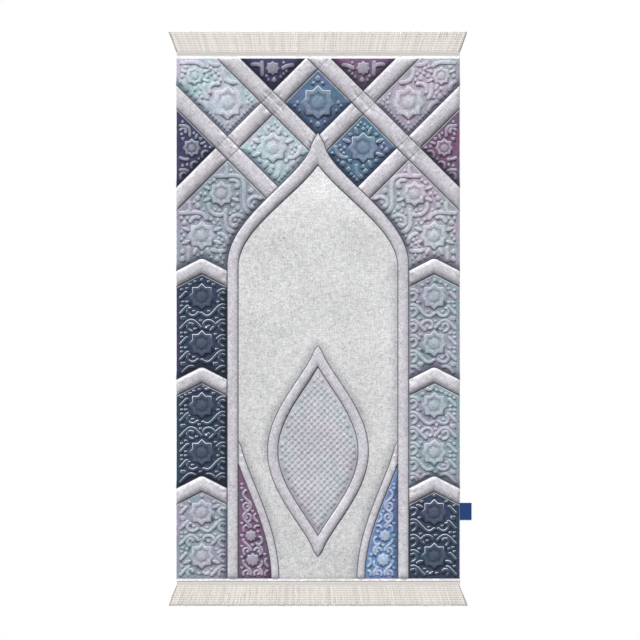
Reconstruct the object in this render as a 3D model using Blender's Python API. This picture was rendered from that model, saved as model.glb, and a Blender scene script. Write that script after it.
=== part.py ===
"""A padded prayer rug with a quilted face, a fringe at each end and a folded tab on one edge.

The rug lies flat with its underside at z = 0. The origin is the middle of the underside, +Y
points to the end with the tip of the niche, and lengths are in metres.
"""

import math

import bmesh
import bpy
import numpy as np
from mathutils import Vector
from mathutils.geometry import delaunay_2d_cdt

# The padded cloth, whose two ends each carry a narrow turned hem.
FACE_WIDTH = 0.650
FACE_LENGTH = 1.200
HEM_DEPTH = 0.003
HEM_STEP = 0.0006  # how far the face takes to drop to the hem

# Heights above the underside.
HEM_HEIGHT = 0.0035
EDGE_HEIGHT = 0.0045
SEAM_HEIGHT = 0.0060
PANEL_HEIGHT = 0.0095
RIB_HEIGHT = 0.0135
STAR_LIFT = 0.0018

# How fast the padding swells away from the sewn edge, and from a seam in a panel or in a rib.
EDGE_SWELL = 0.0035
PANEL_SWELL = 0.0080
RIB_SWELL = 0.0040
FULL_HALF = 0.0100  # a rib whose half width is less than this is lower by the same share

# The niche: two straight jambs, then an ogee arch up to its point.
JAMB_X = 0.196
JAMB_HALF = 0.0125
SPRING_Y = 0.120
APEX_Y = 0.392
ARCH_HALF = 0.0170
ARCH_POWER = 0.75
ARCH_FINIAL = 0.032  # how far the arch's point runs on past its two halves
FINIAL_HALF = 0.002

# The lattice of straight ribs above the arch, crossing at right angles.
LATTICE_STEP = 0.208
LATTICE_HALF = 0.019
SHOULDER_RIB_START = 0.48  # how far from the middle the lowest lattice rib starts, as a share of the step

# Chevron ribs that divide the strip on each side of the niche.
CHEVRON_ENDS_Y = (0.085, -0.165, -0.415)
CHEVRON_RISE = 0.036
CHEVRON_HALF = 0.0165
CHEVRON_ROOT = 0.005  # how far past the middle of the jamb a chevron starts

# The almond medallion low in the niche, and the quarter medallions in the niche's corners.
ALMOND_Y = -0.305
ALMOND_HALF_HEIGHT = 0.222
ALMOND_HALF_WIDTH = 0.104
ALMOND_HALF = 0.012
ALMOND_FINIAL = 0.018
CORNER_HEIGHT = 0.300
CORNER_WIDTH = 0.085
CORNER_HALF = 0.009
OGEE_POWER = 0.62

# Eight-pointed stars raised in the panels: x and y of the right-hand one of a pair, and radius.
STARS = (
    # x, y, radius
    (0.000, 0.496, 0.040),
    (0.104, 0.392, 0.036),
    (0.104, 0.575, 0.017),
    (0.208, 0.496, 0.040),
    (0.283, 0.557, 0.022),
    (0.290, 0.392, 0.022),
    (0.222, 0.286, 0.030),
    (0.267, 0.190, 0.034),
    (0.267, 0.050, 0.031),
    (0.267, -0.058, 0.031),
    (0.267, -0.200, 0.031),
    (0.267, -0.308, 0.031),
    (0.267, -0.446, 0.031),
    (0.267, -0.546, 0.031),
    (0.150, -0.555, 0.016),
    (0.154, -0.500, 0.014),
)
STAR_POINTS = 8
STAR_NOTCH = 0.765  # radius of the notches between the points, for two crossed squares
STAR_SLOPE = 0.0035  # width of the slope round a star's raised top

# Colours of the printed cloth.
COLOURS = {
    "band": (0.52, 0.50, 0.58),
    "niche": (0.66, 0.68, 0.71),
    "silver": (0.48, 0.49, 0.54),
    "navy": (0.05, 0.05, 0.11),
    "slate": (0.06, 0.09, 0.14),
    "steel": (0.12, 0.19, 0.28),
    "blue": (0.14, 0.23, 0.42),
    "aqua": (0.42, 0.50, 0.54),
    "grey": (0.36, 0.40, 0.44),
    "mauve": (0.27, 0.25, 0.33),
    "plum": (0.17, 0.10, 0.19),
}
# Each panel's colour on the left and on the right of the middle.
PANELS = {
    "crown diamond": ("steel", "steel"),
    "top triangle": ("navy", "plum"),
    "top corner": ("aqua", "mauve"),
    "inner diamond": ("aqua", "steel"),
    "side triangle": ("navy", "plum"),
    "shoulder": ("aqua", "mauve"),
    "strip 0": ("slate", "aqua"),
    "strip 1": ("slate", "grey"),
    "strip 2": ("grey", "slate"),
    "niche": ("niche", "niche"),
    "almond": ("silver", "silver"),
    "corner": ("plum", "blue"),
    "band": ("band", "band"),
    "hem": ("niche", "niche"),
}
COTTON = (0.67, 0.62, 0.55)
RIBBON = (0.01, 0.04, 0.20)
PLUSH_ROUGHNESS = 0.80
COTTON_ROUGHNESS = 0.90
RIBBON_ROUGHNESS = 0.60

# How far apart the points of the face's mesh are.
ARCH_SPANS = 15
ALMOND_SPANS = 22
CORNER_SPANS = 14
CHEVRON_STEP = 0.024
STRAIGHT_STEP = 0.060
RIB_ROWS = (-1.0, -0.72, 0.0, 0.72, 1.0)
SHOULDER = 0.008  # a row of points this far outside each seam, where the padding has risen
SECOND_ROW = 0.024  # and loose points this far outside, where it is nearly level
FILL_STEP = 0.050
LOOSE_CLEAR = 0.011  # how far the loose points stay from the ribs, the stars and the edge
MERGE = 0.0005
SHARP_ANGLE = math.radians(16)

# The fringes: yarns in one row, rooted in a heading tape beside the end hem.
PIECE_GAP = 0.0003
HEADING_DEPTH = 0.0115
HEADING_HEIGHT = 0.0030
YARN_COUNT = 140
YARN_ROOT_SHARE = 0.78  # of the pitch
YARN_LENGTH = 0.0455
YARN_LENGTH_SPREAD = 0.0012
YARN_TIP_WIDTH = 0.0032
YARN_TIP_HEIGHT = 0.0020
YARN_SIDE_SPREAD = 0.0004
FRINGE_FLARE = 0.018  # how far the outermost yarn leans out by its tip
HEADING_SECTION = 20  # cells of the heading between two cross edges

# The folded tab on the right-hand edge.
TAB_REACH = 0.028
TAB_WIDTH = 0.039
TAB_Y = -0.4435
TAB_LAYER = 0.0005
TAB_SLIT = 0.0004
TAB_FOLD_STEPS = 6

HALF_WIDTH = FACE_WIDTH / 2
HALF_FACE = FACE_LENGTH / 2
HALF_LENGTH = HALF_FACE + HEM_DEPTH
STRIP_X = (JAMB_X + JAMB_HALF + HALF_WIDTH) / 2
PAST_EDGE = 0.020  # ribs that meet the edge run on this far, and are cut there


def sampled(start, end, step):
    """Points from start to end, about a step apart. Each is x, y and the rib's half width."""
    count = max(1, round(math.dist(start[:2], end[:2]) / step))
    return [tuple(np.array(start) + (np.array(end) - start) * i / count) for i in range(count + 1)]


def ogee(share, power):
    """Width of an ogee at a share of its height: 1 and upright at its foot, 0 at its tip."""
    return (0.5 * (1 + math.cos(math.pi * share))) ** power


def mirrored(line):
    return [(-x, y, half) for x, y, half in line]


def niche_line():
    """The right jamb and the right half of the arch, from the foot to the tip."""
    foot = (JAMB_X, -HALF_LENGTH - PAST_EDGE, JAMB_HALF)
    line = sampled(foot, (JAMB_X, SPRING_Y, JAMB_HALF), STRAIGHT_STEP)
    rise = APEX_Y - SPRING_Y
    for i in range(1, ARCH_SPANS + 1):
        share = i / ARCH_SPANS
        half = JAMB_HALF + (ARCH_HALF - JAMB_HALF) * share
        line.append((JAMB_X * ogee(share, ARCH_POWER), SPRING_Y + rise * share, half))
    line.append((0.0, APEX_Y + ARCH_FINIAL, FINIAL_HALF))
    return line


def almond_line():
    """The right half of the almond medallion's frame, from its lower tip to its upper one."""
    tip = ALMOND_HALF_HEIGHT + ALMOND_FINIAL
    line = [(0.0, ALMOND_Y - tip, FINIAL_HALF)]
    for i in range(ALMOND_SPANS + 1):
        height = 2 * i / ALMOND_SPANS - 1
        width = ALMOND_HALF_WIDTH * ogee(abs(height), OGEE_POWER)
        line.append((width, ALMOND_Y + ALMOND_HALF_HEIGHT * height, ALMOND_HALF))
    line.append((0.0, ALMOND_Y + tip, FINIAL_HALF))
    return line


def corner_line():
    """The frame of the quarter medallion in the niche's right-hand corner, up into the jamb."""
    line = [(JAMB_X - JAMB_HALF - CORNER_WIDTH, -HALF_LENGTH - PAST_EDGE, CORNER_HALF)]
    for i in range(CORNER_SPANS + 1):
        share = i / CORNER_SPANS
        width = CORNER_WIDTH * ogee(share, OGEE_POWER)
        line.append((JAMB_X - JAMB_HALF - width, -HALF_FACE + CORNER_HEIGHT * share, CORNER_HALF))
    line.append((JAMB_X, -HALF_FACE + CORNER_HEIGHT + 2 * JAMB_HALF, CORNER_HALF))
    return line


def lattice_lines():
    """The lattice ribs that run down to the right: one right of the middle, two left of it."""
    reach = HALF_WIDTH + PAST_EDGE
    top = (-PAST_EDGE, HALF_FACE + PAST_EDGE, LATTICE_HALF)
    lines = [sampled(top, (reach, HALF_FACE - reach, LATTICE_HALF), STRAIGHT_STEP)]
    rise = HALF_FACE - APEX_Y + PAST_EDGE
    lines.append(sampled((0.0, APEX_Y, LATTICE_HALF), (-rise, APEX_Y + rise, LATTICE_HALF), STRAIGHT_STEP))
    shoulder_x = SHOULDER_RIB_START * LATTICE_STEP
    shoulder_y = APEX_Y - LATTICE_STEP + shoulder_x
    run = reach - shoulder_x
    start = (-shoulder_x, shoulder_y, LATTICE_HALF)
    lines.append(sampled(start, (-reach, shoulder_y + run, LATTICE_HALF), STRAIGHT_STEP))
    return lines


def chevron_line(end_y):
    """A chevron on the right-hand strip, from the jamb up to its peak and down past the edge."""
    reach = STRIP_X - JAMB_X
    foot_y = end_y + CHEVRON_RISE * CHEVRON_ROOT / reach
    root = (JAMB_X + CHEVRON_ROOT, foot_y, CHEVRON_HALF)
    peak = (STRIP_X, end_y + CHEVRON_RISE, CHEVRON_HALF)
    far = (STRIP_X + reach, end_y, CHEVRON_HALF)
    return sampled(root, peak, CHEVRON_STEP) + sampled(peak, far, CHEVRON_STEP)[1:]


def both_sides(lines):
    return lines + [mirrored(line) for line in lines]


# The ribs in groups. Each group passes over the groups after it, and its own lines run together.
LATTICE = lattice_lines()
RIB_GROUPS = (
    both_sides([niche_line()]),
    LATTICE,
    [mirrored(line) for line in LATTICE],
    both_sides([chevron_line(y) for y in CHEVRON_ENDS_Y]),
    both_sides([almond_line()]),
    both_sides([corner_line()]),
)


def depth_in(points, lines):
    """How deep each point lies inside a group of ribs, less than 0 outside, and the half width there."""
    depth = np.full(len(points), -np.inf)
    half = np.ones(len(points))
    for line in lines:
        for start, end in zip(line, line[1:]):
            run = np.array(end[:2]) - start[:2]
            share = np.clip((points - start[:2]) @ run / (run @ run), 0, 1)
            width = start[2] + share * (end[2] - start[2])
            here = width - np.linalg.norm(points - start[:2] - share[:, None] * run, axis=1)
            half = np.where(here > depth, width, half)
            depth = np.maximum(depth, here)
    return depth, half


def swell(distance, reach):
    return 1 - np.exp(-np.maximum(distance, 0) / reach)


def face_heights(points):
    """The height of the padded face over each point."""
    clear = np.full(len(points), np.inf)
    inside = np.zeros(len(points), bool)
    height = np.zeros(len(points))
    for lines in RIB_GROUPS:
        depth, half = depth_in(points, lines)
        here = (depth > -MERGE) & ~inside
        across = 1 - np.clip(depth / half, 0, 1)
        crown = np.sqrt(1 - across**2) * swell(clear, RIB_SWELL) * np.minimum(half / FULL_HALF, 1)
        height = np.where(here, SEAM_HEIGHT + (RIB_HEIGHT - SEAM_HEIGHT) * crown, height)
        clear = np.where(inside | here, clear, np.minimum(clear, -depth))
        inside |= here
    panel = SEAM_HEIGHT + (PANEL_HEIGHT - SEAM_HEIGHT) * swell(clear, PANEL_SWELL)
    height = np.where(inside, height, panel)
    to_edge = np.minimum(HALF_WIDTH - abs(points[:, 0]), HALF_FACE - abs(points[:, 1]))
    height = EDGE_HEIGHT + (height - EDGE_HEIGHT) * swell(to_edge, EDGE_SWELL)
    return np.where(to_edge < -HEM_STEP / 2, HEM_HEIGHT, height)


class FaceMap:
    """Points of the face, seen from above, with the lines that its mesh has to keep."""

    def __init__(self):
        self.points = []
        self.lifts = []
        self.edges = []

    def add(self, points, lift=0.0, closed=False, keep=True):
        first = len(self.points)
        self.points += [tuple(point[:2]) for point in points]
        self.lifts += [lift] * len(points)
        count = len(points)
        if keep:
            self.edges += [(first + i, first + i + 1) for i in range(count - 1)]
            if closed:
                self.edges.append((first + count - 1, first))

    def triangulate(self):
        """The face's points, their lift and its triangles, cut off at the rug's outline."""
        flat = [Vector(point) for point in self.points]
        points, _, faces, sources, _, _ = delaunay_2d_cdt(flat, self.edges, [], 0, MERGE, True)
        lifts = np.array([max([self.lifts[i] for i in ids], default=0.0) for ids in sources])
        points = np.array([tuple(point) for point in points])
        faces = np.array([tuple(face) for face in faces])
        middle = abs(points[faces].mean(axis=1))
        faces = faces[(middle[:, 0] < HALF_WIDTH) & (middle[:, 1] < HALF_LENGTH)]
        return points, lifts, faces


def offset_line(line, share, extra=0.0):
    """A rib's line moved sideways by a share of its half width and an extra distance."""
    points = np.array(line)[:, :2]
    half = np.array(line)[:, 2]
    along = np.gradient(points, axis=0)
    along /= np.linalg.norm(along, axis=1)[:, None]
    across = np.stack((along[:, 1], -along[:, 0]), axis=1)
    return points + across * (half * share + extra)[:, None]


def star_outline(x, y, radius):
    corners = []
    for i in range(2 * STAR_POINTS):
        angle = math.pi * i / STAR_POINTS
        reach = radius * (1 if i % 2 == 0 else STAR_NOTCH)
        corners.append((x + reach * math.cos(angle), y + reach * math.sin(angle)))
    return corners


def add_outline(face):
    """The rug's outline, the end of the printed face and the row where the padding has risen."""
    rows = (HALF_LENGTH, HALF_FACE + HEM_STEP, HALF_FACE, HALF_FACE - SHOULDER)
    for sign in (-1, 1):
        for y in rows:
            start = (-HALF_WIDTH, sign * y, 0)
            face.add(sampled(start, (HALF_WIDTH, sign * y, 0), STRAIGHT_STEP))
        for x in (HALF_WIDTH, HALF_WIDTH - SHOULDER):
            start = (sign * x, -HALF_LENGTH, 0)
            face.add(sampled(start, (sign * x, HALF_LENGTH, 0), STRAIGHT_STEP))


def add_ribs(face):
    for lines in RIB_GROUPS:
        for line in lines:
            for share in RIB_ROWS:
                face.add(offset_line(line, share))
            for side in (-1, 1):
                face.add(offset_line(line, side, side * SHOULDER))
                face.add(in_panels(offset_line(line, side, side * SECOND_ROW)), keep=False)


def add_stars(face):
    for x, y, radius in STARS:
        for side in (-1, 1) if x else (1,):
            face.add(star_outline(side * x, y, radius), closed=True)
            top = star_outline(side * x, y, radius - STAR_SLOPE)
            face.add(top, lift=STAR_LIFT, closed=True)
            face.add([(side * x, y)], lift=STAR_LIFT, keep=False)


def in_panels(points):
    """The points that lie on the panels' padding, clear of the ribs, the stars and the edge."""
    points = np.array(points)
    clear = np.minimum(HALF_WIDTH - abs(points[:, 0]), HALF_FACE - abs(points[:, 1]))
    for lines in RIB_GROUPS:
        clear = np.minimum(clear, -depth_in(points, lines)[0])
    for x, y, radius in STARS:
        clear = np.minimum(clear, np.hypot(abs(points[:, 0]) - x, points[:, 1] - y) - radius)
    return points[clear > LOOSE_CLEAR]


def niche_panel(x, y):
    """The panel of a point inside the niche's border, by how far from the middle it lies."""
    height = (y + HALF_FACE) / CORNER_HEIGHT
    if height < 1 and x > JAMB_X - JAMB_HALF - CORNER_WIDTH * ogee(max(height, 0), OGEE_POWER):
        return "corner"
    height = abs(y - ALMOND_Y) / ALMOND_HALF_HEIGHT
    inside = height < 1 and x < ALMOND_HALF_WIDTH * ogee(height, OGEE_POWER)
    return "almond" if inside else "niche"


def panel_at(x, y):
    """The name of the panel at a point outside the ribs, the same on both sides of the middle."""
    x = abs(x)
    share = max(0.0, (y - SPRING_Y) / (APEX_Y - SPRING_Y))
    if share < 1 and x < JAMB_X * ogee(share, ARCH_POWER):
        return niche_panel(x, y)
    rise, fall = y - x, y + x
    if rise > APEX_Y:
        return "crown diamond" if fall < HALF_FACE else "top triangle"
    if rise > APEX_Y - LATTICE_STEP:
        return "inner diamond" if fall < HALF_FACE else "top corner"
    if fall > HALF_FACE:
        return "side triangle"
    peak = CHEVRON_RISE * (1 - abs(x - STRIP_X) / (STRIP_X - JAMB_X))
    above = [end_y for end_y in CHEVRON_ENDS_Y if y < end_y + peak]
    return f"strip {len(above) - 1}" if above else "shoulder"


def face_colours(middles):
    """The colour name of each triangle of the face, by its middle."""
    deepest = np.max([depth_in(middles, lines)[0] for lines in RIB_GROUPS], axis=0)
    names = []
    for (x, y), depth in zip(middles, deepest):
        panel = "band" if depth > 0 else panel_at(x, y)
        if abs(y) > HALF_FACE:
            panel = "hem"
        names.append(PANELS[panel][0 if x < 0 else 1])
    return names


def add_fill(face):
    """Points between the ribs, so that no triangle of a panel is long and thin."""
    columns = round(HALF_WIDTH / FILL_STEP)
    rows = round(HALF_FACE / FILL_STEP)
    grid = [(i, j) for i in range(-columns, columns + 1) for j in range(-rows, rows + 1)]
    face.add(in_panels(np.array(grid) * FILL_STEP), keep=False)
    tips = [(0.0, ALMOND_Y + side * (ALMOND_HALF_HEIGHT + ALMOND_FINIAL + SHOULDER)) for side in (-1, 1)]
    face.add(tips, keep=False)


def material(name, colour, roughness):
    made = bpy.data.materials.new(name)
    made.use_nodes = True
    shader = made.node_tree.nodes["Principled BSDF"]
    shader.inputs["Base Color"].default_value = (*colour, 1.0)
    shader.inputs["Roughness"].default_value = roughness
    shader.inputs["Metallic"].default_value = 0.0
    made.diffuse_color = (*colour, 1.0)
    return made


def object_from(bm, name, finishes, smooth_angle=None):
    bmesh.ops.recalc_face_normals(bm, faces=bm.faces[:])
    mesh = bpy.data.meshes.new(name)
    bm.to_mesh(mesh)
    bm.free()
    for finish in finishes:
        mesh.materials.append(finish)
    if smooth_angle:
        mesh.shade_smooth()
        mesh.set_sharp_from_angle(angle=smooth_angle)
    made = bpy.data.objects.new(name, mesh)
    bpy.context.scene.collection.objects.link(made)
    return made


def build_body():
    """One slab: the quilted face, its upright edges and a flat underside."""
    face = FaceMap()
    add_outline(face)
    add_ribs(face)
    add_stars(face)
    add_fill(face)
    points, lifts, faces = face.triangulate()
    heights = face_heights(points) + lifts
    bm = bmesh.new()
    corners = [bm.verts.new((x, y, z)) for (x, y), z in zip(points, heights)]
    slots = list(COLOURS)
    for triangle, colour in zip(faces, face_colours(points[faces].mean(axis=1))):
        made = bm.faces.new([corners[i] for i in triangle])
        made.material_index = slots.index(colour)
    bmesh.ops.delete(bm, geom=[v for v in bm.verts if not v.link_faces], context="VERTS")
    rim = [edge for edge in bm.edges if edge.is_boundary]
    lower = bmesh.ops.extrude_edge_only(bm, edges=rim)["geom"]
    for vertex in lower:
        if isinstance(vertex, bmesh.types.BMVert):
            vertex.co.z = 0.0
    base = [edge for edge in lower if isinstance(edge, bmesh.types.BMEdge) and edge.is_boundary]
    bmesh.ops.contextual_create(bm, geom=base)
    finishes = [material("plush_" + name, colour, PLUSH_ROUGHNESS) for name, colour in COLOURS.items()]
    return object_from(bm, "rug_body", finishes, SHARP_ANGLE)


def heading_columns():
    """The x of each cell border along the heading: the cells are yarn, gap, yarn, up to the last yarn."""
    pitch = FACE_WIDTH / (YARN_COUNT - 1 + YARN_ROOT_SHARE)
    roots = [-HALF_WIDTH + pitch * i for i in range(YARN_COUNT)]
    return [x for root in roots for x in (root, root + pitch * YARN_ROOT_SHARE)]


def middle_x(face):
    return face.calc_center_median().x


def draw_out_yarns(bm, roots, rng):
    """Extrudes each root face into a yarn, narrower at its tip, and fans the row out sideways."""
    tips = bmesh.ops.extrude_discrete_faces(bm, faces=roots)["faces"]
    fan = 1 + FRINGE_FLARE / HALF_WIDTH
    for tip in sorted(tips, key=middle_x):
        root_x = middle_x(tip)
        tip_x = root_x * fan + rng.uniform(-YARN_SIDE_SPREAD, YARN_SIDE_SPREAD)
        length = YARN_LENGTH + rng.uniform(-YARN_LENGTH_SPREAD, YARN_LENGTH_SPREAD)
        for corner in tip.verts:
            corner.co.x = tip_x + math.copysign(YARN_TIP_WIDTH / 2, corner.co.x - root_x)
            corner.co.y += length
            corner.co.z = min(corner.co.z, YARN_TIP_HEIGHT)


def join_heading_cells(bm, columns, outer_y):
    """Joins the heading's own cells into longer sections, so that it has few faces."""
    kept = columns[::HEADING_SECTION] + columns[-1:]
    crossing = []
    for edge in bm.edges:
        a, b = (vertex.co for vertex in edge.verts)
        if abs(a.x - b.x) > MERGE / 10 or max(a.y, b.y) > outer_y + MERGE / 10:
            continue
        on_front = min(a.y, b.y) > outer_y - MERGE / 10
        if not on_front and min(abs(a.x - x) for x in kept) > MERGE / 10:
            crossing.append(edge)
    bmesh.ops.dissolve_edges(bm, edges=crossing, use_verts=True)


def build_fringe(name, end, seed):
    """A heading tape whose outer side runs out into a row of yarns that lie on the floor."""
    columns = heading_columns()
    inner_y = HALF_LENGTH + PIECE_GAP
    outer_y = inner_y + HEADING_DEPTH
    bm = bmesh.new()
    cells = len(columns) - 1
    bmesh.ops.create_grid(bm, x_segments=cells, y_segments=1, size=1)
    for vertex in bm.verts:
        column = round((vertex.co.x + 1) / 2 * cells)
        vertex.co = (columns[column], outer_y if vertex.co.y > 0 else inner_y, 0.0)
    raised = bmesh.ops.extrude_face_region(bm, geom=bm.faces[:])["geom"]
    for vertex in raised:
        if isinstance(vertex, bmesh.types.BMVert):
            vertex.co.z = HEADING_HEIGHT
    front = [f for f in bm.faces if all(v.co.y > outer_y - MERGE / 10 for v in f.verts)]
    draw_out_yarns(bm, sorted(front, key=middle_x)[::2], np.random.default_rng(seed))
    join_heading_cells(bm, columns, outer_y)
    bmesh.ops.scale(bm, vec=(1, end, 1), verts=bm.verts[:])
    return object_from(bm, name, [material(name + "_cotton", COTTON, COTTON_ROUGHNESS)])


def fold_arc(centre_x, centre_z, radius, upwards):
    """Points round the outer end of the fold, from below to above or back."""
    angles = [math.pi * (i / TAB_FOLD_STEPS - 0.5) for i in range(TAB_FOLD_STEPS + 1)]
    points = [(centre_x + radius * math.cos(a), centre_z + radius * math.sin(a)) for a in angles]
    return points if upwards else points[::-1]


def build_tab():
    """A ribbon folded back on itself: its two ends meet the rug's edge and its fold points out."""
    inner_x = HALF_WIDTH + PIECE_GAP
    outer_radius = TAB_LAYER + TAB_SLIT / 2
    fold_x = inner_x + TAB_REACH - outer_radius
    profile = [(inner_x, 0.0)]
    profile += fold_arc(fold_x, outer_radius, outer_radius, True)
    profile += [(inner_x, 2 * outer_radius), (inner_x, TAB_LAYER + TAB_SLIT)]
    profile += fold_arc(fold_x, outer_radius, TAB_SLIT / 2, False)
    profile += [(inner_x, TAB_LAYER)]
    bm = bmesh.new()
    corners = [bm.verts.new((x, TAB_Y - TAB_WIDTH / 2, z)) for x, z in profile]
    end_face = bm.faces.new(corners)
    moved = bmesh.ops.extrude_face_region(bm, geom=[end_face])["geom"]
    across = [v for v in moved if isinstance(v, bmesh.types.BMVert)]
    bmesh.ops.translate(bm, vec=(0, TAB_WIDTH, 0), verts=across)
    return object_from(bm, "side_label", [material("woven_ribbon", RIBBON, RIBBON_ROUGHNESS)])


def clear_scene():
    for old in list(bpy.data.objects):
        bpy.data.objects.remove(old, do_unlink=True)


def main():
    clear_scene()
    build_body()
    build_fringe("fringe_top", 1, seed=11)
    build_fringe("fringe_bottom", -1, seed=12)
    build_tab()


main()
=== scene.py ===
"""A padded prayer rug: a quilted, printed face, a fringe at each end and a folded side tab.

The rug lies flat on the floor, z = 0. The origin is the middle of its underside, +Y points to the
end with the tip of the niche, and lengths are in metres.
"""

import math

import bmesh
import bpy
import numpy as np
from bpy.props import FloatProperty, FloatVectorProperty, IntProperty, PointerProperty
from mathutils import Matrix, Vector
from mathutils.bvhtree import BVHTree
from mathutils.geometry import delaunay_2d_cdt


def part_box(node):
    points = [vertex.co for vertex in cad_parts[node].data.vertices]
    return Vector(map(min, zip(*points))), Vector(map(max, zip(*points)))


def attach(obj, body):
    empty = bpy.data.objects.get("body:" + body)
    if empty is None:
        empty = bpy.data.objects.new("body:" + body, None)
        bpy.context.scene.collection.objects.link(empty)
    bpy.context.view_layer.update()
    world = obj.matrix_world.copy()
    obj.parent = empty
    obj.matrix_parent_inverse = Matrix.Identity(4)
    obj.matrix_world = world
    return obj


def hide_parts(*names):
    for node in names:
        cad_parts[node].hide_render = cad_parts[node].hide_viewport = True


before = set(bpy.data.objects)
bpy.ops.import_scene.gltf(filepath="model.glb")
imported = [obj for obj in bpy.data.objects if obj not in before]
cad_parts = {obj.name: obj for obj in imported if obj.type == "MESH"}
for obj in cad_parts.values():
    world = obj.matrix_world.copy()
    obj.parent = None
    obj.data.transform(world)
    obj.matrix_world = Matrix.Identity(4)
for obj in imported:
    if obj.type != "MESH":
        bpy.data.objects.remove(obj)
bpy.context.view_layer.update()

bl_info = {
    "name": "Prayer Rug",
    "version": (1, 0, 0),
    "blender": (4, 5, 0),
    "location": "3D View > Sidebar > Prayer Rug",
    "description": "Builds a quilted prayer rug with fringed ends over its packed solids",
    "category": "Add Mesh",
}

CLOTH_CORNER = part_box("rug_body")[1]
HALF_WIDTH = CLOTH_CORNER.x
HALF_LENGTH = CLOTH_CORNER.y

# The pattern is laid out up to HALF_FACE. The print ends at FACE_END, where the turned hem starts.
HEM_DEPTH = 0.003
HALF_FACE = HALF_LENGTH - HEM_DEPTH
HEM_FLAT = 0.0052
FACE_END = HALF_LENGTH - HEM_FLAT
HEM_STEP = 0.0006

# How the cloth's edge rolls under: each step out to the side, and the height that is left.
EDGE_ROLL = ((0.0006, 0.55), (0.0004, 0.12), (-0.0004, 0.0))

# Heights of the cloth above the floor, and how fast it rises from its edges and from a seam.
HEM_HEIGHT = 0.0040
EDGE_HEIGHT = 0.0045
SEAM_HEIGHT = 0.0060
EDGE_SWELL = 0.0035
RIB_SWELL = 0.0040
FULL_HALF = 0.0100

# The cloth simulation of the padding: its mesh and how uneven it starts, its frames and the feel of
# its cloth.
PAD_STEP = 0.0060
PAD_JITTER = 0.15
PAD_START = 0.0008
PAD_FRAMES = 10
PAD_QUALITY = 5
PAD_MASS = 0.2
PAD_BENDING = 8.0
PAD_DAMPING = 5.0

# How much of the simulated swelling and creases the panels and the bands take on.
PANEL_SOFTNESS = 0.0034
PANEL_CREASE = 0.75
BAND_CREASE = 0.55
CREASE_LIMIT = 0.0011
EVEN_ROUNDS = 40
TURN_REACH = 0.0030

# The lattice bands that run down to the right are tied down where those to the left pass under them,
# except near the tip of the niche.
KNOTTED_GROUP = 1
KNOT_DIP = 0.24
KNOT_REACH = 0.012
KNOT_GROOVE = 0.0016
KNOT_WIDTH = 0.0026
APEX_CLEAR = 0.070

KNOT_START = 0.0040

# Gathers along a band's seams, and pinches beside a band that crosses: the length of one, how far they
# reach, how soon they start, and how high they are in parts of the pucker.
GATHER_LENGTH = 0.0105
GATHER_REACH = 0.0045
GATHER_START = 0.0012
GATHER_SHARE = 0.6
PINCH_LENGTH = 0.0090
PINCH_REACH = 0.011
PINCH_START = 0.0020
PINCH_SHARE = 2.6
BAND_START = 0.0030

# How uneven the crowns of the bands are, over what length, and how many random heights a ripple has.
BULGE = 0.07
BULGE_LENGTH = 0.075
RIPPLE_KNOTS = 8192

# The puffed bands, as in the solids: the niche, the lattice, chevrons, the almond, the corners.
JAMB_X = 0.196
JAMB_HALF = 0.0125
SPRING_Y = 0.120
APEX_Y = 0.392
ARCH_HALF = 0.0170
ARCH_POWER = 0.75
ARCH_FINIAL = 0.032
FINIAL_HALF = 0.002
LATTICE_STEP = 0.208
LATTICE_HALF = 0.019
SHOULDER_RIB_START = 0.48
CHEVRON_ENDS_Y = (0.085, -0.165, -0.415)
CHEVRON_RISE = 0.036
CHEVRON_HALF = 0.0165
CHEVRON_ROOT = 0.005
ALMOND_Y = -0.305
ALMOND_HALF_HEIGHT = 0.222
ALMOND_HALF_WIDTH = 0.104
ALMOND_HALF = 0.012
ALMOND_FINIAL = 0.018
CORNER_HEIGHT = 0.300
CORNER_WIDTH = 0.085
CORNER_HALF = 0.009
OGEE_POWER = 0.62
FINIAL_STEPS = 8
STRIP_X = (JAMB_X + JAMB_HALF + HALF_WIDTH) / 2
PAST_EDGE = 0.020

# Eight-pointed stars, as in the solids: x and y of the right-hand one of a pair, and radius.
STARS = (
    (0.000, 0.496, 0.040),
    (0.104, 0.392, 0.036),
    (0.104, 0.575, 0.017),
    (0.208, 0.496, 0.040),
    (0.283, 0.557, 0.022),
    (0.290, 0.392, 0.022),
    (0.222, 0.286, 0.030),
    (0.267, 0.190, 0.034),
    (0.267, 0.050, 0.031),
    (0.267, -0.058, 0.031),
    (0.267, -0.200, 0.031),
    (0.267, -0.308, 0.031),
    (0.267, -0.446, 0.031),
    (0.267, -0.546, 0.031),
    (0.150, -0.555, 0.016),
    (0.154, -0.500, 0.014),
)
STAR_NOTCH = 0.765
STAR_SLOPE = 0.0025

# Inside a large star: the radius of its sunk ring and of the small star in it, as shares of its own,
# the turn of the small star, and how high each part stands in parts of the relief.
LARGE_STAR = 0.020
RING_SHARE = 0.66
HEART_SHARE = 0.40
HEART_TURN = 1 / 16
STAR_LIFT = 1.4
RING_LIFT = 0.4
HEART_LIFT = 1.5

# The mesh of the face.
ROW_STEP = 0.0046
CURVE_STEP = 0.0060
RIB_ROWS = (0.0, 1.0, 0.92, 0.78, 0.56, 0.30)
OUTER_ROWS = (0.0018, 0.0048, 0.0090)
EDGE_ROWS = (0.0022, 0.0060)
SHARP_TURN = math.radians(12)
FILL_STEP = 0.0066
ROW_RISE = 0.87
EDGE_ROOM = 0.0020
FILL_ROOM = 0.0040
FILL_EDGE_ROOM = 0.010
TIP_ROOM = 0.030
TIP_STEP = TIP_ROOM / 16
MERGE = 0.0004
LOOSE_ROOM = 0.0024
CELL = 0.016
CELL_MARGIN = 0.010

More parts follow.
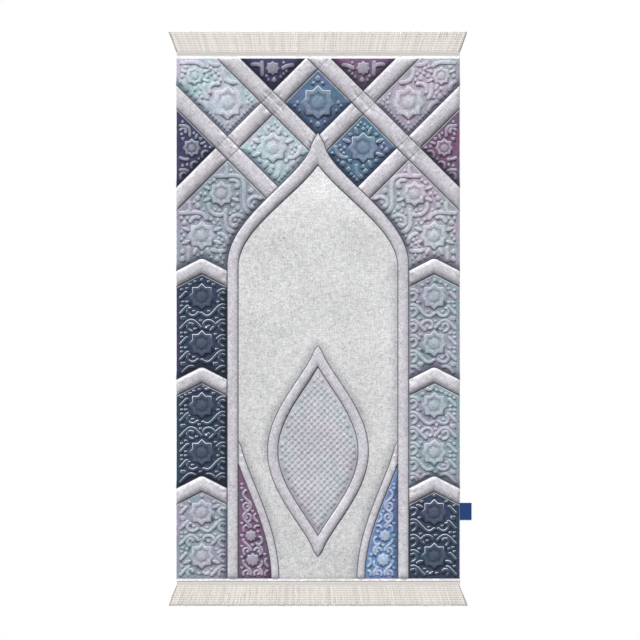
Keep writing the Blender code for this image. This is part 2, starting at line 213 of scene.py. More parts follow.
# The ornament: its mesh, the room between its shapes and the seams, and the sizes of its shapes.
MOTIF_STEP = 0.0026
MOTIF_SLOPE = 0.0015
MOTIF_GAP = 0.0022
STROKE_ROOM = 0.0030
SHORTEST_STROKE = 0.022
ACROSS_RUG = 1.3
VINE_SWING = 0.18
CURL_TURN = 1.9 * math.pi
CURL_TIGHTENING = 0.258
STEM_STEP = 0.0020
# The width of a curl from its foot to its end: it thins out, and ends in a bud.
CURL_WIDTHS = ((0, 1.0), (0.8, 0.80), (0.93, 1.25), (1, 1.10))
LEAF_SHARE = 0.40
LEAF_EXTRA = 0.0060
LEAF_WIDTH = 0.46
LEAF_OFF_STAR = 0.0035
LEAF_ROOM = 0.0075
LOZENGE_BODY = 0.85
SMALL_LOZENGE = 0.62
ROSETTE_LOZENGE = 0.72
LOZENGE_ROOM = 0.0040
LOZENGE_GAP = 0.0006
LOZENGE_STEP = 0.0150
LOZENGE_STEP_AMONG_STEMS = 0.0062
NET_STEP = 0.0105
NET_LOZENGE = 0.57

# The fringes: the heading tape, the yarns' sections, and how the two layers of yarns lie.
TAPE_DEPTH = 0.0115
TAPE_EDGE = 0.0018
TAPE_CORD = 0.0010
TAPE_CORDS = 4
YARN_SIDES = 5
YARN_STEPS = 9
YARN_FILL = 0.60
YARN_TIP = 0.62
YARN_HIDDEN = 0.0015
TWIST_LENGTH = 0.0052
YARN_LAYERS = (
    {"offset": 0.25, "lie": 0.0010, "lean": -0.0032, "drop": 0.0, "shade": -1.0},
    {"offset": 0.50, "lie": 0.0021, "lean": 0.0032, "drop": 0.0006, "shade": 0.0},
)
OUTERMOST_SHADE = -4.0

# How much single yarns differ: in lean, in how far they sway and over what turn, and in length.
LEAN_SPREAD = 0.0007
SWAY = (0.0002, 0.0006)
SWAY_TURN = 7
LENGTH_SPREAD = 0.012

# The folded tab.
RIBBON_THICKNESS = 0.0005
RIBBON_SLIT = 0.0004
RIBBON_STEPS = 10
RIBBON_COLUMNS = 14
FOLD_STEPS = 8

# What the print and its painted shade and highlights follow beside a seam, as the mesh carries it, and
# the distance called far.
SEAM_MARKS = ("seam", "lit", "along", "tuck", "tuck_along")
FAR = 0.100

# Where the face and the underside lie in the layout for baking: x of the middle, and the scale.
FACE_BAKE = (0.27, 0.82)
BACK_BAKE = (0.77, 0.66)

# Where the light painted into the colours comes from, seen from above.
LIGHT_SIDE = np.array((-0.17, 0.985))

# The stage: half the floor's width, the way to the key light, and what the camera is straight above.
FLOOR_HALF = 6.0
KEY_PLACE = (-0.26, 0.84, 0.80)
VIEW_MIDDLE = (0.0046, -0.0035)


# ---------------------------------------------------------------- settings


def colour_setting(name, description, default):
    return FloatVectorProperty(
        name=name, description=description, default=default, size=3, subtype="COLOR", min=0, max=1
    )


def length_setting(name, description, default, low=0.0, high=1.0):
    return FloatProperty(
        name=name, description=description, default=default, min=low, max=high, unit="LENGTH"
    )


def number_setting(name, description, default):
    return FloatProperty(name=name, description=description, default=default, min=0)


class RugClothSettings(bpy.types.PropertyGroup):
    """Sizes of the quilted cloth and of its raised pattern."""

    rib_height: length_setting("Band Height", "Crown of the puffed bands above the floor", 0.0132)
    panel_height: length_setting("Panel Height", "Padding of the panels above the floor", 0.0092)
    relief: length_setting("Relief", "How far the ornament stands out of a panel", 0.0015)
    pucker: length_setting("Pucker", "Height of the small gathers along the seams", 0.0007)
    pressure: number_setting("Padding", "How hard the padding pushes the cloth up", 30.0)
    fullness: number_setting("Fullness", "Share by which the cloth is cut larger than its padding", 0.016)
    vine_half: length_setting("Vine Half Width", "Half the width of the scrolling stems", 0.0047)
    vine_wave: length_setting("Vine Wave", "Length of one wave of a scrolling stem", 0.124)
    vine_pitch: length_setting("Vine Pitch", "Distance between two scrolling stems", 0.060)
    lozenge: length_setting("Lozenge", "Half the diagonal of the lozenges between the stems", 0.0074)


class RugColourSettings(bpy.types.PropertyGroup):
    """Printed colours of the cloth."""

    band: colour_setting("Bands", "Puffed bands", (0.56, 0.545, 0.585))
    niche: colour_setting("Niche", "Ground of the niche", (0.80, 0.80, 0.805))
    hem: colour_setting("Hem", "Turned hem at both ends", (0.97, 0.96, 0.99))
    silver: colour_setting("Almond", "Ground of the almond medallion", (0.60, 0.605, 0.645))
    navy: colour_setting("Navy", "Top triangle on the left", (0.045, 0.045, 0.105))
    slate: colour_setting("Slate", "Dark strips", (0.026, 0.045, 0.083))
    steel: colour_setting("Steel", "Diamonds", (0.085, 0.155, 0.235))
    blue: colour_setting("Blue", "Right-hand corner of the niche", (0.14, 0.23, 0.42))
    aqua: colour_setting("Aqua", "Pale panels on the left", (0.43, 0.505, 0.54))
    grey: colour_setting("Grey", "Pale strips", (0.265, 0.30, 0.345))
    mauve: colour_setting("Mauve", "Pale panels on the right", (0.365, 0.352, 0.402))
    plum: colour_setting("Plum", "Top triangle on the right", (0.165, 0.095, 0.165))
    cotton: colour_setting("Cotton", "Yarn of the fringes", (0.83, 0.79, 0.75))
    ribbon: colour_setting("Ribbon", "Folded tab on the edge", (0.006, 0.042, 0.170))


class RugFringeSettings(bpy.types.PropertyGroup):
    """Sizes of the two fringes."""

    yarn_count: IntProperty(
        name="Yarns", description="Yarns in one layer of a fringe", default=300, min=10, max=600
    )
    yarn_length: length_setting("Yarn Length", "From the heading to the tip", 0.0455)
    flare: length_setting("Flare", "How far the outermost yarn leans out by its tip", 0.018)


class RugStageSettings(bpy.types.PropertyGroup):
    """Light and view."""

    key_strength: number_setting("Key Light", "Strength of the light from the upper left", 3.05)
    fill_strength: number_setting("Fill Light", "Strength of the light from all round", 0.42)
    camera_height: length_setting("Camera Height", "Height of the camera above the floor", 6.0, 1.0, 20)
    view_width: length_setting("View Width", "Width of floor that the camera sees", 1.472, 0.5, 5.0)


# For each panel: its colour on the left and on the right, its pattern, and on the right the pattern's
# direction in degrees and the x of its middle.
PANELS = {
    "crown diamond": ("steel", "steel", "lozenges", 45, 0.0),
    "top triangle": ("navy", "plum", "stems", -45, 0.0),
    "top corner": ("aqua", "mauve", "stems", 45, 0.0),
    "inner diamond": ("aqua", "steel", "stems", -45, 0.0),
    "side triangle": ("navy", "plum", "fine stems", 45, 0.0),
    "shoulder": ("grey", "mauve", "stems", 45, 0.0),
    "strip 0": ("slate", "grey", "fine stems", 0, STRIP_X),
    "strip 1": ("slate", "grey", "fine stems", 0, STRIP_X),
    "strip 2": ("grey", "slate", "fine stems", 0, STRIP_X),
    "corner": ("plum", "blue", "finest stems", 90, 0.150),
    "almond": ("silver", "silver", "net", 45, 0.0),
    "niche": ("niche", "niche", None, 0, 0.0),
    "hem": ("hem", "hem", None, 0, 0.0),
    "band": ("band", "band", None, 0, 0.0),
}
# The patterns made of scrolling stems, and how fine the stems of each are.
STEMS = {"stems": 1.0, "fine stems": 1.7, "finest stems": 2.4}

# How each colour is printed and painted: how much paler its raised parts are, how strong the painted
# highlight on their edges to the light is, how dark the painted shade beside a seam is, and how worn
# its ground is, which also darkens it below the arch and towards the foot.
PRINT_AND_PAINTED_LIGHT = {
    "navy": (0.32, 0.60, 1.0, 0.0),
    "slate": (0.05, 1.00, 1.0, 0.0),
    "steel": (0.16, 1.00, 1.0, 0.0),
    "blue": (0.42, 0.70, 0.8, 0.0),
    "aqua": (0.30, 0.75, 0.9, 0.0),
    "grey": (0.30, 0.70, 0.9, 0.0),
    "mauve": (0.40, 0.70, 0.95, 0.0),
    "plum": (0.34, 0.80, 1.0, 0.0),
    "silver": (0.30, 0.30, 0.4, 0.7),
    "niche": (0.0, 0.0, 0.40, 1.0),
    "hem": (0.0, 0.0, 0.0, 0.0),
    "band": (0.0, 0.0, 0.0, 0.0),
}


# ---------------------------------------------------------------- the lines of the bands


def ogee(share, power):
    """Width of an ogee at a share of its height: 1 and upright at its foot, 0 at its tip."""
    return (0.5 * (1 + math.cos(math.pi * share))) ** power


def mirrored(line):
    return [(-x, y, half) for x, y, half in line]


def both_sides(lines):
    return lines + [mirrored(line) for line in lines]


def finial(y, height, half):
    """Points of a band's tip, from its foot up or, where the height is below 0, down."""
    shares = [i / FINIAL_STEPS for i in range(FINIAL_STEPS + 1)]
    return [(0.0, y + share * height, half + (FINIAL_HALF - half) * share) for share in shares]


def niche_line():
    """The right jamb and the right half of the arch. Each point is x, y and the band's half width."""
    rise = APEX_Y - SPRING_Y
    line = [(JAMB_X, -HALF_LENGTH - PAST_EDGE, JAMB_HALF)]
    spans = round(1.3 * rise / CURVE_STEP)
    for i in range(spans):
        share = i / spans
        half = JAMB_HALF + (ARCH_HALF - JAMB_HALF) * share
        line.append((JAMB_X * ogee(share, ARCH_POWER), SPRING_Y + rise * share, half))
    return line + finial(APEX_Y, ARCH_FINIAL, ARCH_HALF)


def almond_line():
    spans = round(2.4 * ALMOND_HALF_HEIGHT / CURVE_STEP)
    line = finial(ALMOND_Y - ALMOND_HALF_HEIGHT, -ALMOND_FINIAL, ALMOND_HALF)[::-1]
    for i in range(1, spans):
        height = 2 * i / spans - 1
        width = ALMOND_HALF_WIDTH * ogee(abs(height), OGEE_POWER)
        line.append((width, ALMOND_Y + ALMOND_HALF_HEIGHT * height, ALMOND_HALF))
    return line + finial(ALMOND_Y + ALMOND_HALF_HEIGHT, ALMOND_FINIAL, ALMOND_HALF)


def corner_line():
    inner_x = JAMB_X - JAMB_HALF
    spans = round(1.1 * CORNER_HEIGHT / CURVE_STEP)
    line = [(inner_x - CORNER_WIDTH, -HALF_LENGTH - PAST_EDGE, CORNER_HALF)]
    for i in range(spans + 1):
        share = i / spans
        width = CORNER_WIDTH * ogee(share, OGEE_POWER)
        line.append((inner_x - width, -HALF_FACE + CORNER_HEIGHT * share, CORNER_HALF))
    return line + [(JAMB_X, -HALF_FACE + CORNER_HEIGHT + 2 * JAMB_HALF, CORNER_HALF)]


def lattice_lines():
    """The straight bands that run down to the right."""
    reach = HALF_WIDTH + PAST_EDGE
    rise = HALF_FACE - APEX_Y + PAST_EDGE
    start_x = SHOULDER_RIB_START * LATTICE_STEP
    start_y = APEX_Y - LATTICE_STEP + start_x
    end_y = start_y + reach - start_x
    return [
        [(-PAST_EDGE, HALF_FACE + PAST_EDGE, LATTICE_HALF), (reach, HALF_FACE - reach, LATTICE_HALF)],
        [(0.0, APEX_Y, LATTICE_HALF), (-rise, APEX_Y + rise, LATTICE_HALF)],
        [(-start_x, start_y, LATTICE_HALF), (-reach, end_y, LATTICE_HALF)],
    ]


def chevron_line(end_y):
    reach = STRIP_X - JAMB_X
    foot_y = end_y + CHEVRON_RISE * CHEVRON_ROOT / reach
    root = (JAMB_X + CHEVRON_ROOT, foot_y, CHEVRON_HALF)
    return [root, (STRIP_X, end_y + CHEVRON_RISE, CHEVRON_HALF), (STRIP_X + reach, end_y, CHEVRON_HALF)]


# Where the tips of the niche and of the almond end, and the way they point: 1 up, -1 down.
TIPS = (
    (APEX_Y + ARCH_FINIAL, 1),
    (ALMOND_Y + ALMOND_HALF_HEIGHT + ALMOND_FINIAL, 1),
    (ALMOND_Y - ALMOND_HALF_HEIGHT - ALMOND_FINIAL, -1),
)

# Each group passes over the groups after it.
LATTICE = lattice_lines()
RIB_GROUPS = (
    both_sides([niche_line()]),
    LATTICE,
    [mirrored(line) for line in LATTICE],
    both_sides([chevron_line(y) for y in CHEVRON_ENDS_Y]),
    both_sides([almond_line()]),
    both_sides([corner_line()]),
)


def nearest_rib(points, lines):
    """For each point, the nearest band of a group.

    Returned are the depth inside the band, its half width, the direction away from its middle line
    and the distance along it. A band that starts on the middle line and leads to one side stays on
    that side.
    """
    depth = np.full(len(points), -np.inf)
    half = np.ones(len(points))
    away = np.zeros((len(points), 2))
    along = np.zeros(len(points))
    for line in lines:
        passed = 0.0
        for start, end in zip(line, line[1:]):
            run = np.array(end[:2]) - start[:2]
            length = np.hypot(*run)
            offset = points - start[:2]
            share = offset @ run / length**2
            taper = (end[2] - start[2]) / length
            if taper:
                beside = np.hypot(*(offset - share[:, None] * run).T)
                share += beside * taper / math.sqrt(1 - taper**2) / length
            share = np.clip(share, 0, 1)
            offset -= share[:, None] * run
            distance = np.hypot(offset[:, 0], offset[:, 1])
            width = start[2] + share * (end[2] - start[2])
            here = width - distance > depth
            if start[0] == 0:
                here &= points[:, 0] * run[0] >= 0
            depth[here] = (width - distance)[here]
            half[here] = width[here]
            away[here] = offset[here] / np.maximum(distance[here], 1e-9)[:, None]
            along[here] = passed + share[here] * length
            passed += length
    return depth, half, away, along


def rib_clearance(points, groups=RIB_GROUPS):
    """How far each point lies outside all the bands of some groups, less than 0 inside."""
    points = np.asarray(points, float)
    clear = np.full(len(points), np.inf)
    for lines in groups:
        clear = np.minimum(clear, -nearest_rib(points, lines)[0])
    return clear


def edge_clearance(points):
    points = np.asarray(points, float)
    return np.minimum(HALF_WIDTH - abs(points[:, 0]), FACE_END - abs(points[:, 1]))


def niche_panel(x, y):
    height = (y + HALF_FACE) / CORNER_HEIGHT
    if height < 1 and x > JAMB_X - JAMB_HALF - CORNER_WIDTH * ogee(max(height, 0), OGEE_POWER):
        return "corner"
    height = abs(y - ALMOND_Y) / ALMOND_HALF_HEIGHT
    inside = height < 1 and x < ALMOND_HALF_WIDTH * ogee(height, OGEE_POWER)
    return "almond" if inside else "niche"


def panel_at(x, y):
    """The name of the panel at a point outside the bands, the same on both sides of the middle."""
    x = abs(x)
    share = max(0.0, (y - SPRING_Y) / (APEX_Y - SPRING_Y))
    if share < 1 and x < JAMB_X * ogee(share, ARCH_POWER):
        return niche_panel(x, y)
    rise, fall = y - x, y + x
    if rise > APEX_Y:
        return "crown diamond" if fall < HALF_FACE else "top triangle"
    if rise > APEX_Y - LATTICE_STEP:
        return "inner diamond" if fall < HALF_FACE else "top corner"
    if fall > HALF_FACE:
        return "side triangle"
    peak = CHEVRON_RISE * (1 - abs(x - STRIP_X) / (STRIP_X - JAMB_X))
    above = [end_y for end_y in CHEVRON_ENDS_Y if y < end_y + peak]
    return f"strip {len(above) - 1}" if above else "shoulder"


# ---------------------------------------------------------------- shape of the padded cloth


def swell(distance, reach):
    return 1 - np.exp(-np.maximum(distance, 0) / reach)


def ripples(along, wavelength, seed):
    """Smooth random waves along a seam, between -1 and 1."""
    knots = np.random.default_rng(seed).uniform(-1, 1, RIPPLE_KNOTS)
    spot = along / wavelength
    index = np.floor(spot).astype(int)
    share = spot - index
    blend = share * share * (3 - 2 * share)
    return knots[index % RIPPLE_KNOTS] * (1 - blend) + knots[(index + 1) % RIPPLE_KNOTS] * blend


def unevenness(points, wavelength, seed):
    """Slow random waves over the face, about -1 to 1."""
    rng = np.random.default_rng(seed)
    total = np.zeros(len(points))
    for _ in range(9):
        angle, phase = rng.uniform(0, 2 * math.pi, 2)
        length = wavelength * rng.uniform(0.6, 1.6)
        total += np.sin(2 * math.pi * (points @ (math.cos(angle), math.sin(angle))) / length + phase)
    return total / 4


def shape_face(points, swelling, creases, sizes):
    """Height of the padded face over the simulated padding, and at each point what its print and its
    painted shading follow.

    They follow: the distance from the nearest seam and the place along it, how far the cloth turns to
    the light there, and the same distance and place for the seam of a band that crosses.
    """
    count = len(points)
    found = [nearest_rib(points, lines) for lines in RIB_GROUPS]
    clear = np.full(count, np.inf)
    inside = np.zeros(count, bool)
    height = np.zeros(count)
    marks = {name: np.zeros(count) for name in SEAM_MARKS}
    marks["tuck"] += FAR
    cover_along = np.zeros(count)
    panel_away = np.zeros((count, 2))
    weights = np.full(count, 1e-30)
    bulge = 1 + BULGE * unevenness(points, BULGE_LENGTH, 3)
    for number, (depth, half, away, along) in enumerate(found):
        here = (depth > -MERGE) & ~inside
        depth = np.clip(depth, -1, half)
        inner = np.clip(depth, 0, None)
        share = 1 - inner / half
        tuck, tuck_along = clear, cover_along
        crown = np.sqrt(1 - share**2) * swell(clear, RIB_SWELL) * np.minimum(half / FULL_HALF, 1)
        groove = 0.0
        if number == KNOTTED_GROUP:
            under, _, _, under_along = found[number + 1]
            under = np.where(np.hypot(points[:, 0], points[:, 1] - APEX_Y) < APEX_CLEAR, -FAR, under)
            crown *= 1 - KNOT_DIP * np.exp(-np.maximum(-under, 0) / KNOT_REACH)
            groove = KNOT_GROOVE * np.exp(-((under / KNOT_WIDTH) ** 2)) * swell(inner, KNOT_START)
            tuck_along = np.where(abs(under) < tuck, under_along, tuck_along)
            tuck = np.minimum(tuck, abs(under))
        rise = (sizes.rib_height - SEAM_HEIGHT) * crown * bulge - groove + BAND_CREASE * creases
        side = np.sign(away @ LIGHT_SIDE)
        gathers = ripples(along + 3 * side, GATHER_LENGTH, number) * np.exp(-inner / GATHER_REACH)
        gathers *= swell(inner, GATHER_START)
        pinches = ripples(tuck_along, PINCH_LENGTH, 20 + number) * np.exp(-tuck / PINCH_REACH)
        pinches *= swell(tuck, PINCH_START)
        rise += GATHER_SHARE * sizes.pucker * gathers
        rise += PINCH_SHARE * sizes.pucker * pinches * swell(inner, BAND_START)
        height = np.where(here, SEAM_HEIGHT + rise, height)
        found_here = {
            "seam": np.minimum(inner, clear),
            "lit": share * (away @ LIGHT_SIDE),
            "along": along,
            "tuck": np.minimum(tuck, FAR),
            "tuck_along": tuck_along,
        }
        for name, values in found_here.items():
            marks[name] = np.where(here, values, marks[name])
        nearer = ~inside & ~here & (-depth < clear)
        clear = np.where(nearer, -depth, clear)
        cover_along = np.where(nearer, along, cover_along)
        weight = np.exp(np.minimum(depth, 0.0) / TURN_REACH)
        panel_away += weight[:, None] * away
        weights += weight
        inside |= here
    rise = (sizes.panel_height - SEAM_HEIGHT) * swell(swelling, PANEL_SOFTNESS) + PANEL_CREASE * creases
    height = np.where(inside, height, SEAM_HEIGHT + rise)
    marks["seam"] = np.where(inside, marks["seam"], np.minimum(clear, FAR))
    marks["lit"] = np.where(inside, marks["lit"], panel_away @ LIGHT_SIDE / weights)
    marks["along"] = np.where(inside, marks["along"], cover_along)
    to_edge = edge_clearance(points)
    height = EDGE_HEIGHT + (height - EDGE_HEIGHT) * swell(to_edge, EDGE_SWELL)
    on_hem = to_edge < -HEM_STEP / 2
    for name, value in (("seam", FAR), ("tuck", FAR), ("lit", 0.0)):
        marks[name][on_hem] = value
    return np.where(on_hem, HEM_HEIGHT, height), marks


# ---------------------------------------------------------------- mesh of the face


class FaceMap:
    """Points of the face seen from above, the lines its mesh keeps, and the ornament raised in it."""

    def __init__(self):
        self.points = []
        self.edges = []
        self.lifts = []
        self.skirts = []
        self.cells = {}
        self.stroke_cells = {}

    def add(self, points, lift=0.0, skirts=None, closed=False, keep=True):
        first = len(self.points)
        count = len(points)
        self.points += [(float(point[0]), float(point[1])) for point in points]
        self.lifts += [lift] * count
        self.skirts += [0.0] * count if skirts is None else list(skirts)
        if keep:
            self.edges += [(first + i, first + i + 1) for i in range(count - 1)]
            if closed:
                self.edges.append((first + count - 1, first))

    def occupy(self, x, y, radius, cells=None):
        """Marks a round place as taken by ornament."""
        cells = self.cells if cells is None else cells
        reach = radius + CELL_MARGIN
        for i in range(math.floor((x - reach) / CELL), math.floor((x + reach) / CELL) + 1):
            for j in range(math.floor((y - reach) / CELL), math.floor((y + reach) / CELL) + 1):
                cells.setdefault((i, j), []).append((x, y, radius))

    def depth(self, x, y, cells):
        """How deep a point lies in the places taken, at most -CELL_MARGIN where none is near."""
        found = cells.get((math.floor(x / CELL), math.floor(y / CELL)), ())
        return max((radius - math.hypot(x - a, y - b) for a, b, radius in found), default=-CELL_MARGIN)

    def room(self, x, y):
        return -self.depth(x, y, self.cells)

    def add_loose(self, points, room):
        """Adds single points, apart from those that lie in or beside ornament."""
        self.add([p for p in points if self.room(p[0], p[1]) > room], keep=False)

    def triangulate(self):
        flat = [Vector(point) for point in self.points]
        points, _, faces, sources, _, _ = delaunay_2d_cdt(flat, self.edges, [], 0, MERGE, True)
        lifts = np.array([max([self.lifts[i] for i in ids], default=0.0) for ids in sources])
        skirts = np.array([max([self.skirts[i] for i in ids], key=abs, default=0.0) for ids in sources])
        points = np.array([tuple(point) for point in points])
        faces = np.array([tuple(face) for face in faces])
        middle = abs(points[faces].mean(axis=1))
        faces = faces[(middle[:, 0] < HALF_WIDTH) & (middle[:, 1] < HALF_LENGTH)]
        for i, (x, y) in enumerate(points):
            covered = min(max(self.depth(x, y, self.stroke_cells) / MOTIF_SLOPE, 0.0), 1.0)
            lifts[i] = max(lifts[i], covered)
            skirts[i] *= 1 - covered
        return points, lifts, skirts, faces


def divided(line, step):
    """A line with points put in, so that none of its spans is much longer than a step."""
    points = []
    for start, end in zip(line, line[1:]):
        count = max(1, round(math.dist(start[:2], end[:2]) / step))
        points += [tuple(np.array(start) + (np.array(end) - start) * i / count) for i in range(count)]
    return np.array(points + [tuple(line[-1])])


def unit_normals(points):
    runs = np.diff(points, axis=0)
    runs /= np.linalg.norm(runs, axis=1)[:, None]
    return np.stack((runs[:, 1], -runs[:, 0]), axis=1)


def offset_row(line, share, extra):
    """A row beside a band's middle line, with a round outside at each sharp corner."""
    points = line[:, :2]
    reach = line[:, 2] * abs(share) + extra
    side = math.copysign(1.0, share)
    normals = side * unit_normals(points)
    tapers = np.gradient(line[:, 2]) / np.linalg.norm(np.gradient(points, axis=0), axis=1)

    def border(i, normal):
        ahead = side * np.array((-normal[1], normal[0]))
        return points[i] + reach[i] * (math.sqrt(1 - tapers[i] ** 2) * normal - tapers[i] * ahead)

    row = [border(0, normals[0])]
    for i in range(1, len(points) - 1):
        before, after = normals[i - 1], normals[i]
        turn = math.atan2(before[0] * after[1] - before[1] * after[0], before @ after)
        steps = max(1, math.ceil(abs(turn) / SHARP_TURN))
        if steps == 1:
            middle = before + after
            row.append(border(i, middle / np.linalg.norm(middle)))
            continue
        for k in range(steps + 1):
            angle = turn * k / steps
            turned = Matrix.Rotation(angle, 2) @ Vector(before)
            row.append(points[i] + np.array(turned) * reach[i])
    row.append(border(len(points) - 1, normals[-1]))
    return np.array(row)


def runs_of(kept):
    """The start and the end of each run of kept points."""
    padded = np.concatenate(([0], np.asarray(kept, int), [0]))
    change = np.diff(padded)
    return list(zip(np.where(change == 1)[0], np.where(change == -1)[0]))


def add_row(face, row, wrong):
    """Adds the right stretches of a row as lines, each run on by one point into the wrong ones."""
    right = ~wrong
    right[1:] |= ~wrong[:-1]
    right[:-1] |= ~wrong[1:]
    for start, end in runs_of(right):
        if end - start > 1:
            face.add(row[start:end])


def add_ribs(face, step, shares):
    """Rows of points along each band, at shares of its half width: 0 is its middle, 1 its seams."""
    for number, group in enumerate(RIB_GROUPS):
        over = RIB_GROUPS[:number]
        for line in group:
            line = divided(line, step)
            for signed in [share * side for share in shares for side in ((-1, 1) if share else (1,))]:
                row = offset_row(line, signed, 0.0)
                depth, half, _, _ = nearest_rib(row, group)
                wrong = abs(depth - half * (1 - abs(signed))) > 2 * MERGE
                if over:
                    wrong |= rib_clearance(row, over) < 0
                add_row(face, row, wrong)


def add_shoulders(face):
    """Rows of points beside each band, where the padding of what it covers rises from the seam."""
    for number, group in enumerate(RIB_GROUPS):
        for line in group:
            line = divided(line, ROW_STEP)
            for side in (-1, 1):
                for extra in OUTER_ROWS:
                    row = offset_row(line, float(side), extra)
                    clear = rib_clearance(row, RIB_GROUPS[: number + 1])
                    wrong = (clear < extra - MERGE) | (edge_clearance(row) < EDGE_ROOM)
                    if extra == OUTER_ROWS[0]:
                        for start, end in runs_of(~wrong):
                            face.add(row[start:end])
                    else:
                        face.add_loose(row[~wrong], LOOSE_ROOM)


def add_tips(face):
    """The round end of each band's tip, and close points round it."""
    grid = even_rows(TIP_STEP, TIP_ROOM, ROW_RISE * TIP_ROOM)
    for y, way in TIPS:
        turns = np.radians((35, 62, 90, 118, 145))
        cap = np.stack((np.cos(turns), way * np.sin(turns)), axis=1) * FINIAL_HALF + (0, y)
        face.add(cap)
        spots = grid + (0, y - way * TIP_ROOM / 2)
        tip_clear = rib_clearance(spots, RIB_GROUPS[:1] + RIB_GROUPS[4:5])
        near = (tip_clear > 0.6 * TIP_STEP) & (tip_clear < TIP_ROOM / 2)
        face.add_loose(spots[near], LOOSE_ROOM)


def add_outline(face):
    """The cloth's outline, the end of the printed face and rows where the padding has risen."""
    for sign in (-1, 1):
        for y in (HALF_LENGTH, FACE_END + HEM_STEP, FACE_END, *(FACE_END - row for row in EDGE_ROWS)):
            face.add(divided([(-HALF_WIDTH, sign * y), (HALF_WIDTH, sign * y)], ROW_STEP))
        for x in (HALF_WIDTH, *(HALF_WIDTH - row for row in EDGE_ROWS)):
            face.add(divided([(sign * x, -HALF_LENGTH), (sign * x, HALF_LENGTH)], ROW_STEP))


def even_rows(step, half_width=HALF_WIDTH, half_length=HALF_FACE):
    """Points in even, staggered rows round the middle."""
    rows = np.arange(-round(half_length / (ROW_RISE * step)), round(half_length / (ROW_RISE * step)) + 1)
    columns = np.arange(-round(half_width / step), round(half_width / step) + 1)
    j, i = np.meshgrid(rows, columns, indexing="ij")
    return np.stack(((i + 0.5 * (j % 2)) * step, j * ROW_RISE * step), axis=-1).reshape(-1, 2)


def add_fill(face):
    """Points in even rows wherever the panels are free."""
    grid = even_rows(FILL_STEP)
    free = (rib_clearance(grid) > OUTER_ROWS[-1] + FILL_ROOM) & (edge_clearance(grid) > FILL_EDGE_ROOM)
    face.add_loose(grid[free], LOOSE_ROOM)


# ---------------------------------------------------------------- simulated padding


def seam_distance(points):
    """Distance of each point from the nearest seam or edge, seams under another band left out."""
    nearest = edge_clearance(points)
    covered = np.zeros(len(points), bool)
    for lines in RIB_GROUPS:
        depth = nearest_rib(points, lines)[0]
        nearest = np.where(covered, nearest, np.minimum(nearest, abs(depth)))
        covered |= depth > 2 * MERGE
    return nearest


def flat_padding():
    """A plain mesh of the flat face with vertices on every seam: its points and triangles."""
    pad = FaceMap()
    for sign in (-1, 1):
        end, side = sign * FACE_END, sign * HALF_WIDTH
        pad.add(divided([(-HALF_WIDTH, end), (HALF_WIDTH, end)], PAD_STEP))
        pad.add(divided([(side, -FACE_END), (side, FACE_END)], PAD_STEP))
    add_ribs(pad, PAD_STEP, (0.0, 1.0))
    fill = even_rows(PAD_STEP)
    fill += np.random.default_rng(1).uniform(-PAD_JITTER, PAD_JITTER, fill.shape) * PAD_STEP
    pad.add(fill[seam_distance(fill) > 0.45 * PAD_STEP], keep=False)
    points, _, _, faces = pad.triangulate()
    return points, faces


def blow_up(piece, sewn, sizes):
    """Runs the cloth simulation: the padding pushes the cloth up wherever it isn't sewn down."""
    group = piece.vertex_groups.new(name="sewn")
    group.add(sewn, 1.0, "REPLACE")
    cloth = piece.modifiers.new("padding", "CLOTH")
    cloth.collision_settings.use_collision = False
    cloth.point_cache.frame_end = PAD_FRAMES
    feel = cloth.settings
    feel.quality = PAD_QUALITY
    feel.mass = PAD_MASS
    feel.bending_stiffness = PAD_BENDING
    feel.air_damping = PAD_DAMPING
    feel.use_pressure = True
    feel.uniform_pressure_force = sizes.pressure
    feel.shrink_min = feel.shrink_max = -sizes.fullness
    feel.vertex_group_mass = group.name
    feel.effector_weights.gravity = 0.0
    piece.modifiers.new("soft", "SUBSURF")
    scene = bpy.context.scene
    for moment in range(1, PAD_FRAMES + 1):
        scene.frame_set(moment)
    shaped = piece.evaluated_get(bpy.context.evaluated_depsgraph_get())
    mesh = bpy.data.meshes.new_from_object(shaped, preserve_all_data_layers=True)
    piece.modifiers.clear()
    piece.data, flat = mesh, piece.data
    bpy.data.meshes.remove(flat)
    scene.frame_set(1)


def heights_under(points, piece):
    """Height of a piece straight below each point, 0 where there is none."""
    surface = BVHTree.FromObject(piece, bpy.context.evaluated_depsgraph_get())
    down = Vector((0, 0, -1))
    hits = [surface.ray_cast(Vector((x, y, 1.0)), down)[0] for x, y in points]
    return np.array([hit.z if hit else 0.0 for hit in hits]).clip(0.0)


def padding_under(points, sizes):
    """How high the simulated padding lifts the cloth, and how high its creases stand."""
    places, faces = flat_padding()
    sewn = seam_distance(places) < 2 * MERGE
    start = np.where(sewn, 0.0, np.random.default_rng(4).uniform(0, PAD_START, len(places)))
    bm = bmesh.new()
    corners = [bm.verts.new((x, y, z)) for (x, y), z in zip(places, start)]
    for triangle in faces:
        bm.faces.new([corners[i] for i in triangle])
    turn_up(bm)
    piece = object_from(bm, "padding", [])
    blow_up(piece, [int(i) for i in np.where(sewn)[0]], sizes)
    with_creases = heights_under(points, piece)
    even = piece.modifiers.new("even", "SMOOTH")
    even.iterations = EVEN_ROUNDS
    even.vertex_group = "sewn"
    even.invert_vertex_group = True
    swelling = heights_under(points, piece)
    bpy.data.meshes.remove(piece.data)
    creases = CREASE_LIMIT * np.tanh((with_creases - swelling) / CREASE_LIMIT)
    return swelling, creases


# ---------------------------------------------------------------- ornament


def skirt_of(outline):
    """For each point of a closed outline, 1 where its outside faces away from the light, -1 towards it."""
    following = np.roll(outline, -1, axis=0) - np.roll(outline, 1, axis=0)
    normals = np.stack((following[:, 1], -following[:, 0]), axis=1)
    normals /= np.linalg.norm(normals, axis=1)[:, None] + 1e-12
    if np.cross(outline, np.roll(outline, -1, axis=0)).sum() < 0:
        normals = -normals
    return -(normals @ LIGHT_SIDE)


